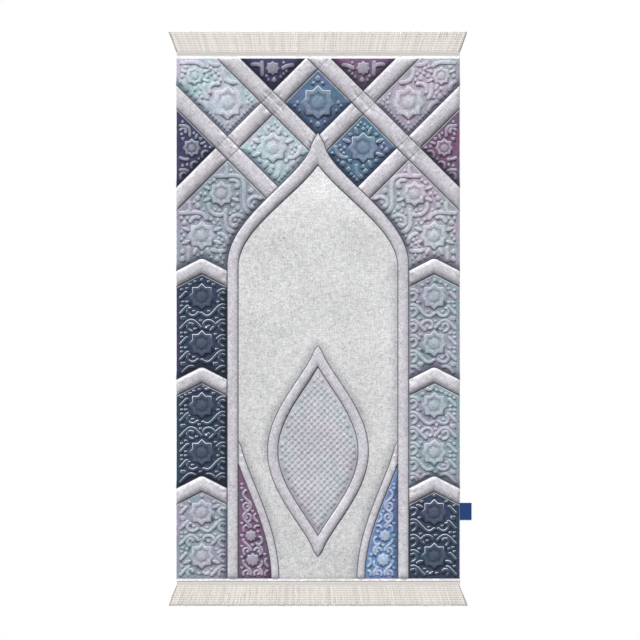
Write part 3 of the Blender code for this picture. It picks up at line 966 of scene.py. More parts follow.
def add_shape(face, base, tops, sides=(1, -1)):
    """A raised shape: its foot, then the outlines inside it with their lift, on both sides or on one."""
    base = np.asarray(base, float)
    for side in sides:
        turned = base * (side, 1)
        face.add(turned, skirts=skirt_of(turned), closed=True)
        for outline, lift in tops:
            outline = np.asarray(outline, float) * (side, 1)
            face.add(outline, lift=lift, closed=len(outline) > 2, keep=len(outline) > 1)


def star_outline(x, y, radius, turn=0.0):
    corners = []
    for i in range(16):
        angle = math.pi * (i / 8 + turn)
        reach = radius * (1 if i % 2 == 0 else STAR_NOTCH)
        corners.append((x + reach * math.cos(angle), y + reach * math.sin(angle)))
    return corners


def lozenge_outline(x, y, angle, reach):
    return [
        (x + reach * math.cos(angle + math.pi * i / 2), y + reach * math.sin(angle + math.pi * i / 2))
        for i in range(4)
    ]


def leaf_outline(x, y, angle, length, width):
    """A pointed leaf round its middle."""
    ax, ay = math.cos(angle), math.sin(angle)
    outline = []
    for i in range(12):
        turn = 2 * math.pi * i / 12
        along = math.cos(turn) * length / 2
        across = math.copysign(abs(math.sin(turn)) ** 1.3, math.sin(turn)) * width / 2
        outline.append((x + along * ax - across * ay, y + along * ay + across * ax))
    return outline


def add_star(face, x, y, radius):
    """A medallion: a raised star with a sunk ring and a smaller star, turned, in its middle."""
    tops = [(star_outline(x, y, radius - STAR_SLOPE), STAR_LIFT)]
    if radius > LARGE_STAR:
        ring, heart = RING_SHARE * radius, HEART_SHARE * radius
        tops += [
            (star_outline(x, y, ring), STAR_LIFT),
            (star_outline(x, y, ring - MOTIF_SLOPE), RING_LIFT),
            (star_outline(x, y, heart + MOTIF_SLOPE, HEART_TURN), RING_LIFT),
            (star_outline(x, y, heart, HEART_TURN), HEART_LIFT),
        ]
    tops.append(([(x, y)], STAR_LIFT))
    add_shape(face, star_outline(x, y, radius), tops, (1, -1) if x else (1,))
    for side in (1, -1):
        face.occupy(side * x, y, radius)


def add_rosettes(face, reach):
    """Leaves in the notches round each large star and lozenges off its points, where there is room."""
    leaves = []
    lozenges = []
    for x, y, radius in STARS:
        if radius < LARGE_STAR:
            continue
        for i in range(8):
            angle = math.pi * (i + 0.5) / 4
            length = LEAF_SHARE * radius + LEAF_EXTRA
            middle = STAR_NOTCH * radius + LEAF_OFF_STAR + length / 2
            leaves.append((x + middle * math.cos(angle), y + middle * math.sin(angle), angle, length))
            angle = math.pi * i / 4
            middle = radius + MOTIF_SLOPE + reach
            lozenges.append((x + middle * math.cos(angle), y + middle * math.sin(angle), angle, reach))
    for x, y, angle, length in with_room(leaves, LEAF_ROOM, 0.25):
        need = MOTIF_GAP / 2 + LEAF_WIDTH / 2 * length
        tip_x, tip_y = length / 2 * math.cos(angle), length / 2 * math.sin(angle)
        tips = [(x - tip_x, y - tip_y, 0.4 * need), (x + tip_x, y + tip_y, 0.4 * need)]
        if off_stems(face, [(x, y, need), *tips]):
            add_leaf(face, x, y, angle, length, LEAF_WIDTH * length)
    for x, y, angle, _ in with_room(lozenges, reach + 0.0025, 0.0):
        if off_stems(face, [(x, y, MOTIF_GAP / 2 + LOZENGE_BODY * reach)]):
            add_lozenge(face, x, y, angle, reach)


def with_room(shapes, room, spread):
    """The shapes, each an x, y, angle and size, clear of the bands, the edge and the middle line."""
    spots = np.array(shapes)[:, :2]
    clear = np.minimum(rib_clearance(spots), edge_clearance(spots))
    return [
        shape
        for shape, free in zip(shapes, clear)
        if shape[0] > room and free > room + spread * shape[3]
    ]


def off_stems(face, spots):
    """Whether each spot, an x, a y and the room that it needs, is off all stems."""
    return all(face.depth(x, y, face.stroke_cells) <= -need for x, y, need in spots)


def add_lozenge(face, x, y, angle, reach):
    inner = lozenge_outline(x, y, angle, reach - 1.4 * MOTIF_SLOPE)
    add_shape(face, lozenge_outline(x, y, angle, reach), [(inner, 1.0)])
    for side in (1, -1):
        face.occupy(side * x, y, LOZENGE_BODY * reach)


def add_leaf(face, x, y, angle, length, width):
    inner = leaf_outline(x, y, angle, length - 3.2 * MOTIF_SLOPE, width - 2 * MOTIF_SLOPE)
    add_shape(face, leaf_outline(x, y, angle, length, width), [(inner, 1.0)])
    for side in (1, -1):
        for share in (-0.32, -0.16, 0, 0.16, 0.32):
            spot_x = x + share * length * math.cos(angle)
            face.occupy(side * spot_x, y + share * length * math.sin(angle), 0.36 * width)


def evenly(points, halves, step):
    """A stroke with its points put at even distances."""
    gone = np.concatenate(([0], np.cumsum(np.linalg.norm(np.diff(points, axis=0), axis=1))))
    spots = np.linspace(0, gone[-1], max(3, round(gone[-1] / step) + 1))
    columns = [np.interp(spots, gone, column) for column in (points[:, 0], points[:, 1], halves)]
    return np.stack(columns[:2], axis=1), columns[2]


def stroke_outline(points, halves):
    """The outline of a stroke with round ends."""
    along = np.gradient(points, axis=0)
    along /= np.linalg.norm(along, axis=1)[:, None]
    across = np.stack((along[:, 1], -along[:, 0]), axis=1)
    left = points + across * halves[:, None]
    right = points - across * halves[:, None]
    caps = []
    for end, sign in ((-1, 1), (0, -1)):
        cap = []
        for angle in (-math.pi / 4, 0, math.pi / 4):
            way = sign * along[end] * math.cos(angle) - sign * across[end] * math.sin(angle)
            cap.append(points[end] + way * halves[end])
        caps.append(cap)
    return np.concatenate((left, caps[0], right[::-1], caps[1]))


def add_stroke(face, points, halves):
    for side in (1, -1):
        spine = points * (side, 1)
        base = stroke_outline(spine, halves)
        face.add(base, skirts=skirt_of(base), closed=True)
        face.add(stroke_outline(spine, halves - MOTIF_SLOPE), lift=1.0, closed=True)
        dense, widths = evenly(spine, halves, 0.0008)
        for (x, y), half in zip(dense, widths):
            face.occupy(x, y, half)
            face.occupy(x, y, half, face.stroke_cells)


def vine(origin, along, across, length, wave, half):
    """Strokes of one scrolling stem: the wavy stem, and a curl with a bud in each of its bends."""
    gone = np.arange(0, length, STEM_STEP)
    swing = VINE_SWING * wave * np.sin(2 * math.pi * gone / wave)
    stem = origin + gone[:, None] * along + swing[:, None] * across
    strokes = [(stem, np.full(len(stem), half))]
    turn = np.linspace(0, CURL_TURN, 90)
    radius = wave / 4 * np.exp(-CURL_TIGHTENING * turn)
    halves = np.interp(turn / CURL_TURN, *zip(*CURL_WIDTHS)) * half
    for k in range(int(2 * length / wave)):
        centre = origin + (wave / 4 + k * wave / 2) * along
        side = 1 if k % 2 == 0 else -1
        curl = centre - (radius * np.cos(turn))[:, None] * along
        curl = curl - side * (radius * np.sin(turn))[:, None] * across
        strokes.append((curl, halves))
    return strokes


def free_of(points, names, room):
    """Which points lie in the named panels on the right, clear of the bands and the edge."""
    off_middle = (points[:, 0] > room - STROKE_ROOM) | (abs(points[:, 0]) < MERGE)
    free = (rib_clearance(points) > room) & (edge_clearance(points) > room + 0.001) & off_middle
    for i in np.where(free)[0]:
        free[i] = panel_at(*points[i]) in names
    return free


def add_vines(face, names, degrees, middle_x, fineness, sizes):
    """Scrolling stems over the named panels, cut off at their borders and at the stars."""
    wave = sizes.vine_wave / fineness
    half = sizes.vine_half / math.sqrt(fineness)
    pitch = sizes.vine_pitch / fineness
    angle = math.radians(degrees)
    along = np.array((math.cos(angle), math.sin(angle)))
    across = np.array((-along[1], along[0]))
    centre = np.array((middle_x, 0.0 if middle_x else APEX_Y + LATTICE_STEP / 2))
    strokes = []
    rows = math.ceil(0.8 / pitch)
    for row in range(-rows, rows):
        origin = centre + (row + 0.5) * pitch * across - ACROSS_RUG / 2 * along
        strokes += vine(origin, along, across, ACROSS_RUG, wave, half)
    strokes = [evenly(points, halves, MOTIF_STEP) for points, halves in strokes]
    strokes = [stroke for stroke in strokes if on_right_half(stroke[0]).any()]
    free = free_of(np.concatenate([points for points, _ in strokes]), names, half + STROKE_ROOM)
    ends = np.cumsum([len(points) for points, _ in strokes])
    pieces = []
    for (points, halves), kept in zip(strokes, np.split(free, ends[:-1])):
        for i in np.where(kept)[0]:
            kept[i] = face.room(*points[i]) > halves[i] + MOTIF_GAP
        for start, end in runs_of(kept):
            if (end - start) * MOTIF_STEP > SHORTEST_STROKE / math.sqrt(fineness):
                pieces.append((points[start:end], halves[start:end]))
    for points, halves in pieces:
        add_stroke(face, points, halves)


def on_right_half(points):
    return (points[:, 0] > -MERGE) & (points[:, 0] < HALF_WIDTH) & (abs(points[:, 1]) < HALF_FACE)


def grid_points(step, degrees, middle_x):
    """Points of a square grid over the right half, turned by an angle."""
    angle = math.radians(degrees)
    along = np.array((math.cos(angle), math.sin(angle))) * step
    across = np.array((-along[1], along[0]))
    count = math.ceil(1.4 / step)
    i, j = np.meshgrid(np.arange(-count, count), np.arange(-count, count))
    spots = np.array((middle_x, 0.0)) + i.reshape(-1, 1) * along + j.reshape(-1, 1) * across
    return spots[on_right_half(spots)]


def add_lozenges(face, names, degrees, step, middle_x, reach):
    """Lozenges on a grid, wherever there is room for one."""
    spots = grid_points(step, degrees, middle_x)
    for x, y in spots[free_of(spots, names, reach + LOZENGE_ROOM)]:
        if face.room(x, y) > reach + LOZENGE_GAP:
            add_lozenge(face, x, y, math.radians(degrees + 45), reach)


def add_net(face, names, step):
    """A net of sunk lines between small lozenges."""
    reach = NET_LOZENGE * step
    spots = grid_points(step, 45, 0.0)
    for x, y in spots[free_of(spots, names, reach + STROKE_ROOM)]:
        add_lozenge(face, x, y, 0.0, reach)


def add_ornament(face, sizes):
    for x, y, radius in STARS:
        add_star(face, x, y, radius)
    layouts = {}
    for name, (_, _, *layout) in PANELS.items():
        layouts.setdefault(tuple(layout), []).append(name)
    for (kind, degrees, middle_x), names in layouts.items():
        if kind in STEMS:
            add_vines(face, names, degrees, middle_x, STEMS[kind], sizes)
    add_rosettes(face, ROSETTE_LOZENGE * sizes.lozenge)
    for (kind, degrees, middle_x), names in layouts.items():
        if kind == "net":
            add_net(face, names, NET_STEP)
        elif kind:
            step = LOZENGE_STEP_AMONG_STEMS if kind in STEMS else LOZENGE_STEP
            add_lozenges(face, names, degrees, step, middle_x, sizes.lozenge)
            add_lozenges(face, names, degrees, step / 2, middle_x, SMALL_LOZENGE * sizes.lozenge)


# ---------------------------------------------------------------- shader nodes


def put(tree, kind, inputs=None, **settings):
    """A node with its settings and inputs. An input that is given a socket is linked to it."""
    made = tree.nodes.new(kind)
    for name, value in settings.items():
        setattr(made, name, value)
    for name, value in (inputs or {}).items():
        if isinstance(value, bpy.types.NodeSocket):
            tree.links.new(value, made.inputs[name])
        else:
            made.inputs[name].default_value = value
    return made


def calc(tree, operation, a, b=0.0, clamp=False):
    return put(tree, "ShaderNodeMath", {0: a, 1: b}, operation=operation, use_clamp=clamp).outputs[0]


def stretch(tree, value, low, high, to_low=0.0, to_high=1.0):
    """A value mapped smoothly from one range to another and held inside it."""
    inputs = {"Value": value, "From Min": low, "From Max": high, "To Min": to_low, "To Max": to_high}
    return put(tree, "ShaderNodeMapRange", inputs, interpolation_type="SMOOTHSTEP").outputs[0]


def blend(tree, factor, a, b, how="MIX"):
    made = put(tree, "ShaderNodeMix", {0: factor, 6: a, 7: b}, data_type="RGBA", blend_type=how)
    return made.outputs[2]


def tinted(tree, colour, value):
    """A colour made lighter or darker by a value."""
    return put(tree, "ShaderNodeVectorMath", {0: colour, 1: value}, operation="MULTIPLY").outputs[0]


def product(tree, *values):
    result = values[0]
    for value in values[1:]:
        result = calc(tree, "MULTIPLY", result, value)
    return result


def total(tree, *values):
    result = values[0]
    for value in values[1:]:
        result = calc(tree, "ADD", result, value)
    return result


def darker(tree, colour, amount):
    return tinted(tree, colour, calc(tree, "SUBTRACT", 1.0, amount))


def swung(tree, value, amount):
    """A number round 1 that follows a value round 0.5."""
    return total(tree, 1.0, product(tree, calc(tree, "SUBTRACT", value, 0.5), amount))


def noise(tree, vector, scale, detail=2.0, roughness=0.5):
    inputs = {"Vector": vector, "Scale": scale, "Detail": detail, "Roughness": roughness}
    return put(tree, "ShaderNodeTexNoise", inputs).outputs["Fac"]


def attribute(tree, name):
    return put(tree, "ShaderNodeAttribute", attribute_name=name, attribute_type="GEOMETRY")


def object_place(tree):
    return put(tree, "ShaderNodeTexCoord").outputs["Object"]


def group_of(name, inputs, outputs):
    """An empty node group with named sockets."""
    tree = bpy.data.node_groups.new(name, "ShaderNodeTree")
    for socket, kind, default in inputs:
        made = tree.interface.new_socket(name=socket, in_out="INPUT", socket_type=kind)
        made.default_value = default
    for socket, kind in outputs:
        tree.interface.new_socket(name=socket, in_out="OUTPUT", socket_type=kind)
    return tree, tree.nodes.new("NodeGroupInput"), tree.nodes.new("NodeGroupOutput")


def pile_group():
    """Short brushed pile: a mottled colour and a fine height."""
    found = bpy.data.node_groups.get("Brushed Pile")
    if found:
        return found
    tree, given, result = group_of(
        "Brushed Pile",
        [("Colour", "NodeSocketColor", (0.5, 0.5, 0.5, 1)), ("Mottle", "NodeSocketFloat", 0.2)],
        [("Colour", "NodeSocketColor"), ("Height", "NodeSocketFloat")],
    )
    place = object_place(tree)
    speckle = noise(tree, place, 300.0, 3.0, 0.8)
    patches = noise(tree, place, 110.0, 3.0, 0.7)
    drift = noise(tree, place, 9.0, 2.0)
    mottle = [product(tree, part, share) for part, share in ((speckle, 1.1), (patches, 0.6), (drift, 0.3))]
    swing = calc(tree, "SUBTRACT", total(tree, *mottle), 1.0)
    level = total(tree, product(tree, swing, given.outputs["Mottle"], 2.0), 1.0)
    tree.links.new(tinted(tree, given.outputs["Colour"], level), result.inputs["Colour"])
    pile = total(tree, product(tree, speckle, 0.6), product(tree, patches, 0.4))
    tree.links.new(pile, result.inputs["Height"])
    return tree


def weave_group():
    """Plain weave: threads that cross each other along X and Y, with painted shade where they dip."""
    found = bpy.data.node_groups.get("Plain Weave")
    if found:
        return found
    tree, given, result = group_of(
        "Plain Weave",
        [("Colour", "NodeSocketColor", (0.5, 0.5, 0.5, 1)), ("Thread", "NodeSocketFloat", 0.001)],
        [("Colour", "NodeSocketColor"), ("Height", "NodeSocketFloat")],
    )
    place = object_place(tree)
    split = put(tree, "ShaderNodeSeparateXYZ", {0: place})
    waves = []
    for axis in ("X", "Y"):
        turns = calc(tree, "DIVIDE", split.outputs[axis], given.outputs["Thread"])
        waves.append(calc(tree, "SINE", product(tree, turns, math.pi)))
    cross = calc(tree, "ABSOLUTE", product(tree, *waves))
    fuzz = noise(tree, place, 600.0, 2.0)
    height = total(tree, cross, product(tree, fuzz, 0.5))
    # Painted shade: the colour darkens where the threads dip.
    level = total(tree, product(tree, height, 0.30), 0.80)
    tree.links.new(tinted(tree, given.outputs["Colour"], level), result.inputs["Colour"])
    tree.links.new(height, result.inputs["Height"])
    return tree


def new_material(name, roughness, sheen=0.0):
    made = bpy.data.materials.new(name)
    made.use_nodes = True
    shader = made.node_tree.nodes["Principled BSDF"]
    shader.inputs["Roughness"].default_value = roughness
    shader.inputs["Sheen Weight"].default_value = sheen
    shader.inputs["Sheen Roughness"].default_value = 0.5
    shader.inputs["Specular IOR Level"].default_value = 0.3
    return made, made.node_tree, shader


def finish_with(tree, shader, colour, height, depth):
    tree.links.new(colour, shader.inputs["Base Color"])
    bump = put(tree, "ShaderNodeBump", {"Height": height, "Distance": depth, "Strength": 1.0})
    tree.links.new(bump.outputs["Normal"], shader.inputs["Normal"])


def hatched(tree, place):
    """Fine broken lines along X and along Y."""
    lines = []
    for scale in ((420.0, 45.0, 1.0), (45.0, 420.0, 1.0)):
        drawn = put(tree, "ShaderNodeVectorMath", {0: place, 1: scale}, operation="MULTIPLY").outputs[0]
        lines.append(noise(tree, drawn, 1.0, 2.0, 0.6))
    return product(tree, total(tree, *lines), 0.5)


def creased(tree, along, away, scale, reach):
    """Creases that run out from a seam, which fade away from it: a value round 0."""
    across = product(tree, away, 0.3)
    spot = put(tree, "ShaderNodeCombineXYZ", {0: along, 1: across, 2: 0.0}).outputs[0]
    wave = calc(tree, "SUBTRACT", noise(tree, spot, scale, 2.0, 0.6), 0.5)
    return product(tree, wave, stretch(tree, away, 0.0, reach, 1.0, 0.0))


def with_ornament(tree, colour, pale, edge):
    """Raised parts paler, a painted highlight on the edge to the light, painted shadow on the far edge."""
    relief = attribute(tree, "relief").outputs["Fac"]
    skirt = attribute(tree, "skirt").outputs["Fac"]
    colour = blend(tree, product(tree, relief, pale), colour, (0.68, 0.71, 0.76, 1))
    depth = total(tree, 0.30, product(tree, edge, 0.48))
    # Painted shadow on the edge of a raised part away from the light.
    painted_shadow = product(tree, stretch(tree, skirt, 0.10, 0.70), depth)
    colour = darker(tree, colour, painted_shadow)
    # Painted highlight on the edge of a raised part towards the light.
    painted_highlight = product(tree, stretch(tree, skirt, -0.05, -0.50), stretch(tree, relief, 0.0, 0.06), edge)
    return blend(tree, painted_highlight, colour, (0.80, 0.87, 0.93, 1))


def beside_seams(tree, colour, seam, lit, band, painted_shade):
    """Painted shading of the panels: painted shade above a band, a painted highlight line below it."""
    near = calc(tree, "POWER", stretch(tree, seam, 0.0, 0.024, 1.0, 0.0), 1.2)
    # Painted shade on a panel above a band, on its side towards the light.
    dark = product(tree, near, stretch(tree, lit, -0.10, 0.25), painted_shade, 0.90)
    colour = blend(tree, dark, colour, tinted(tree, colour, (0.14, 0.15, 0.22)))
    # A painted highlight line on a panel just below a band.
    line = product(tree, stretch(tree, seam, 0.0012, 0.0042, 1.0, 0.0), stretch(tree, lit, -0.15, -0.7))
    line = product(tree, line, calc(tree, "SUBTRACT", 1.0, band), 0.55)
    return blend(tree, line, colour, (0.80, 0.82, 0.85, 1))


def painted_band_shading(tree, colour, lit, band):
    """The painted shading of the bands: a painted highlight above, painted shade below."""
    # Painted highlight on the upper side of a band and painted shade on its lower side.
    bright = product(tree, stretch(tree, lit, 0.35, 0.85), band, 0.75)
    colour = blend(tree, bright, colour, (0.92, 0.92, 0.94, 1))
    dim = product(tree, stretch(tree, lit, 0.05, -0.95), band, 0.78)
    return blend(tree, dim, colour, tinted(tree, colour, (0.30, 0.30, 0.34)))


def printed_plush():
    """The printed face: panel colours, ornament with painted highlights and shadows, painted shade and
    highlights beside the seams, on the bands and in the creases, wear, a darkening towards the foot,
    and pile.
    """
    made, tree, shader = new_material("printed_plush", 0.82, 0.20)
    panel = attribute(tree, "panel")
    band = panel.outputs["Alpha"]
    # The print marks: how pale the raised tops are, the strength of the painted edge highlight and of the
    # painted shade beside the seams, and how worn the ground is.
    marks = attribute(tree, "print")
    pale, edge, painted_shade = put(tree, "ShaderNodeSeparateColor", {0: marks.outputs["Color"]}).outputs
    worn = marks.outputs["Alpha"]
    seam, lit, along, tuck, tuck_along = (attribute(tree, name).outputs["Fac"] for name in SEAM_MARKS)
    place = object_place(tree)

    colour = panel.outputs["Color"]
    drift = stretch(tree, noise(tree, place, 14.0, 2.0), 0.35, 0.65)
    shift = total(tree, 0.06, product(tree, edge, 0.94))
    cool, warm = tinted(tree, colour, (0.84, 1.04, 1.02)), tinted(tree, colour, (1.16, 0.94, 1.10))
    colour = blend(tree, shift, colour, blend(tree, drift, cool, warm))
    colour = with_ornament(tree, colour, pale, edge)
    colour = beside_seams(tree, colour, seam, lit, band, painted_shade)
    colour = painted_band_shading(tree, colour, lit, band)

    gathers = product(tree, creased(tree, along, seam, 190.0, 0.012), 0.55)
    pinches = product(tree, creased(tree, tuck_along, tuck, 130.0, 0.024), 2.6)
    steady = attribute(tree, "steady").outputs["Fac"]
    creases = product(tree, total(tree, gathers, pinches), steady)
    # Gathers and pinches darken and lighten the colour as painted shade and highlight in the creases, and
    # they also make the bump below.
    colour = tinted(tree, colour, calc(tree, "MAXIMUM", total(tree, 1.0, creases), 0.35))
    line = product(tree, stretch(tree, seam, 0.0003, 0.0018, 1.0, 0.0), 0.78)
    tie = product(tree, stretch(tree, tuck, 0.0003, 0.0028, 1.0, 0.0), 0.50)
    colour = darker(tree, colour, calc(tree, "MAXIMUM", line, tie))

    turned = put(tree, "ShaderNodeMapping", {"Vector": place, "Rotation": (0, 0, math.pi / 4)}).outputs[0]
    straight, slanting = hatched(tree, place), hatched(tree, turned)
    lines = put(tree, "ShaderNodeMix", {0: worn, 2: slanting, 3: straight}, data_type="FLOAT").outputs[0]
    colour = tinted(tree, colour, swung(tree, lines, 1.25))
    specks = stretch(tree, noise(tree, place, 170.0, 3.0, 0.8), 0.53, 0.66)
    islands = stretch(tree, noise(tree, place, 19.0, 2.0), 0.45, 0.62, 0.10, 1.0)
    colour = darker(tree, colour, product(tree, specks, islands, worn, 0.42))
    scratches = stretch(tree, straight, 0.57, 0.66)
    colour = darker(tree, colour, product(tree, scratches, islands, worn, 0.45))
    # The worn grounds grow darker below the arch and towards the foot.
    length_up = put(tree, "ShaderNodeSeparateXYZ", {0: place}).outputs["Y"]
    below_arch = stretch(tree, length_up, 0.33, 0.17, 0.0, 0.194)
    to_foot = stretch(tree, length_up, 0.0, -0.45, 0.0, 0.065)
    colour = darker(tree, colour, product(tree, total(tree, below_arch, to_foot), worn))

    given = {"Colour": colour, "Mottle": 0.60}
    pile = put(tree, "ShaderNodeGroup", given, node_tree=pile_group())
    height = total(tree, pile.outputs["Height"], product(tree, creases, 1.2))
    finish_with(tree, shader, pile.outputs["Colour"], height, 0.0007)
    return made


def woven(name, colour, thread, depth, roughness, sheen=0.0):
    """A cloth in plain weave."""
    made, tree, shader = new_material(name, roughness, sheen)
    given = {"Colour": (*colour, 1.0), "Thread": thread}
    weave = put(tree, "ShaderNodeGroup", given, node_tree=weave_group())
    finish_with(tree, shader, weave.outputs["Colour"], weave.outputs["Height"], depth)
    return made


def twisted_yarn(colour):
    """Plied cotton: slanting strands round each yarn with painted shade in the grooves between them,
    and yarns which all differ a little in tone.
    """
    made, tree, shader = new_material("cotton_yarn", 0.9, 0.25)
    place = put(tree, "ShaderNodeUVMap", uv_map="Strand").outputs["UV"]
    split = put(tree, "ShaderNodeSeparateXYZ", {0: place})
    slant = total(tree, split.outputs["X"], calc(tree, "DIVIDE", split.outputs["Y"], TWIST_LENGTH))
    wave = calc(tree, "SINE", product(tree, slant, 2 * math.pi))
    strands = stretch(tree, wave, -1.0, 0.2)
    tone = attribute(tree, "tone").outputs["Fac"]
    fuzz = noise(tree, object_place(tree), 700.0, 2.0)
    # Painted shade in the grooves between the strands, with a tone for each yarn and a fine fuzz.
    shades = [product(tree, part, share) for part, share in ((strands, 0.30), (tone, 0.10), (fuzz, 0.25))]
    height = total(tree, strands, product(tree, fuzz, 0.4))
    finish_with(tree, shader, tinted(tree, colour, total(tree, *shades, 0.62)), height, 0.0004)
    return made


# ---------------------------------------------------------------- pieces


def object_from(bm, name, finishes, smooth_angle=None):
    mesh = bpy.data.meshes.new(name)
    bm.to_mesh(mesh)
    bm.free()
    for finish in finishes:
        mesh.materials.append(finish)
    mesh.shade_smooth()
    if smooth_angle:
        mesh.set_sharp_from_angle(angle=smooth_angle)
    made = bpy.data.objects.new(name, mesh)
    bpy.context.scene.collection.objects.link(made)
    return made


def verts_of(geometry):
    return [part for part in geometry if isinstance(part, bmesh.types.BMVert)]


def edges_of(geometry):
    return [part for part in geometry if isinstance(part, bmesh.types.BMEdge)]


def turn_up(bm):
    """Leaves out loose vertices and turns every face of a cloth upwards."""
    bmesh.ops.delete(bm, geom=[v for v in bm.verts if not v.link_faces], context="VERTS")
    bmesh.ops.recalc_face_normals(bm, faces=bm.faces[:])
    if sum(f.normal.z for f in bm.faces) < 0:
        bmesh.ops.reverse_faces(bm, faces=bm.faces[:])


def close_underneath(bm):
    """Rolls the cloth's edge over and closes it with a flat underside."""
    rim = [edge for edge in bm.edges if edge.is_boundary]
    for out, height in EDGE_ROLL:
        lower = bmesh.ops.extrude_edge_only(bm, edges=rim)["geom"]
        for vertex in verts_of(lower):
            if abs(vertex.co.x) > HALF_WIDTH - 0.002:
                vertex.co.x += math.copysign(out, vertex.co.x)
            vertex.co.z *= height
        rim = [edge for edge in edges_of(lower) if edge.is_boundary]
    return bmesh.ops.contextual_create(bm, geom=rim)["faces"]


def steadiness(points, faces, marks):
    """1 where the places along the seams run on smoothly, 0 where they jump from seam to seam."""
    steady = np.ones(len(points))
    corners = points[faces]
    longest = np.linalg.norm(corners - np.roll(corners, 1, axis=1), axis=2).max(axis=1)
    for name in ("along", "tuck_along"):
        jumps = np.ptp(marks[name][faces], axis=1) > 3 * longest + 0.001
        steady[faces[jumps]] = 0.0
    return steady


def build_cloth(sizes, colours):
    face = FaceMap()
    add_outline(face)
    add_ribs(face, ROW_STEP, RIB_ROWS)
    add_ornament(face, sizes)
    add_shoulders(face)
    add_tips(face)
    add_fill(face)
    points, lifts, skirts, faces = face.triangulate()
    heights, marks = shape_face(points, *padding_under(points, sizes), sizes)
    heights += sizes.relief * lifts
    marks = {**marks, "relief": np.minimum(lifts, 1.0), "skirt": skirts}
    marks["steady"] = steadiness(points, faces, marks)
    middles = points[faces].mean(axis=1)
    in_band = rib_clearance(middles) < 0
    bm = bmesh.new()
    mark_layers = [(bm.verts.layers.float.new(name), values) for name, values in marks.items()]
    panel_layer = bm.loops.layers.float_color.new("panel")
    # Print marks for each corner, with the strengths of the painted highlight and of the painted shade.
    print_and_painted_light_layer = bm.loops.layers.float_color.new("print")
    bake_layer = bm.loops.layers.uv.new("OFBake")
    corners = [bm.verts.new((x, y, z)) for (x, y), z in zip(points, heights)]
    for layer, values in mark_layers:
        for vertex, value in zip(corners, values):
            vertex[layer] = value
    for triangle, (x, y), banded in zip(faces, middles, in_band):
        made = bm.faces.new([corners[i] for i in triangle])
        banded = banded and abs(y) < FACE_END
        name = "hem" if abs(y) > FACE_END else "band" if banded else panel_at(x, y)
        colour = PANELS[name][0 if x < 0 else 1]
        for loop in made.loops:
            loop[panel_layer] = (*getattr(colours, colour), float(banded))
            loop[print_and_painted_light_layer] = PRINT_AND_PAINTED_LIGHT[colour]
    turn_up(bm)
    top = set(bm.faces)
    under = close_underneath(bm)
    for made in bm.faces:
        middle, scale = FACE_BAKE if made in top else BACK_BAKE
        for loop in made.loops:
            loop[bake_layer].uv = (middle + scale * loop.vert.co.x, 0.5 + scale * loop.vert.co.y)
            if made not in top:
                loop[panel_layer] = (*colours.niche, 0.0)
    for made in under:
        made.material_index = 1
    bmesh.ops.recalc_face_normals(bm, faces=bm.faces[:])
    back = woven("plain_back", (0.42, 0.43, 0.46), 0.0011, 0.0003, 0.85)
    return object_from(bm, "quilted_cloth", [printed_plush(), back], math.radians(70))


def yarn_shape(length, radius):
    """One yarn along +Y: a round section spun out into a tube, narrower at its tip."""
    bm = bmesh.new()
    turn = Matrix.Rotation(math.pi / 2, 4, "X")
    bmesh.ops.create_circle(bm, cap_ends=True, segments=YARN_SIDES, radius=radius, matrix=turn)
    whole = bm.faces[:] + bm.edges[:] + bm.verts[:]
    rise = Vector((0, length / YARN_STEPS, 0))
    bmesh.ops.spin(
        bm, geom=whole, axis=(0, 1, 0), cent=(0, 0, 0), dvec=rise, angle=0.0, steps=YARN_STEPS
    )
    bmesh.ops.recalc_face_normals(bm, faces=bm.faces[:])
    strand = bm.loops.layers.uv.new("Strand")
    for made in bm.faces:
        turns = [math.atan2(loop.vert.co.z, loop.vert.co.x) / (2 * math.pi) for loop in made.loops]
        for loop, turned in zip(made.loops, turns):
            loop[strand].uv = (turned + (1.0 if max(turns) - turned > 0.5 else 0.0), loop.vert.co.y)
    for vertex in bm.verts:
        if vertex.co.y > length - 1e-5:
            vertex.co.x *= YARN_TIP
            vertex.co.z *= YARN_TIP
    mesh = bpy.data.meshes.new("yarn")
    bm.to_mesh(mesh)
    bm.free()
    return mesh


def heading_height(across):
    """Profile of the heading tape: lengthwise cords between two thin edges. 0 is the cloth's side."""
    cords = abs(math.sin(math.pi * TAPE_CORDS * across))
    return TAPE_EDGE + TAPE_CORD * cords**0.6


def add_heading(bm, inner_y):
    """The tape that the yarns are rooted in."""
    rng = np.random.default_rng(5)
    made = bmesh.ops.create_grid(bm, x_segments=180, y_segments=16, size=1)["verts"]
    phase = rng.uniform(0, 6.28)
    for vertex in made:
        x, across = vertex.co.x * HALF_WIDTH, (vertex.co.y + 1) / 2
        sway = 0.00025 * math.sin(x * 90 + phase) + 0.0002 * math.sin(x * 37)
        vertex.co = (x, inner_y + TAPE_DEPTH * across + sway * across, heading_height(across))
    rim = [edge for edge in bm.edges if edge.is_boundary]
    lower = bmesh.ops.extrude_edge_only(bm, edges=rim)["geom"]
    for vertex in verts_of(lower):
        vertex.co.z = 0.0
    base = [edge for edge in edges_of(lower) if edge.is_boundary]
    bmesh.ops.contextual_create(bm, geom=base)


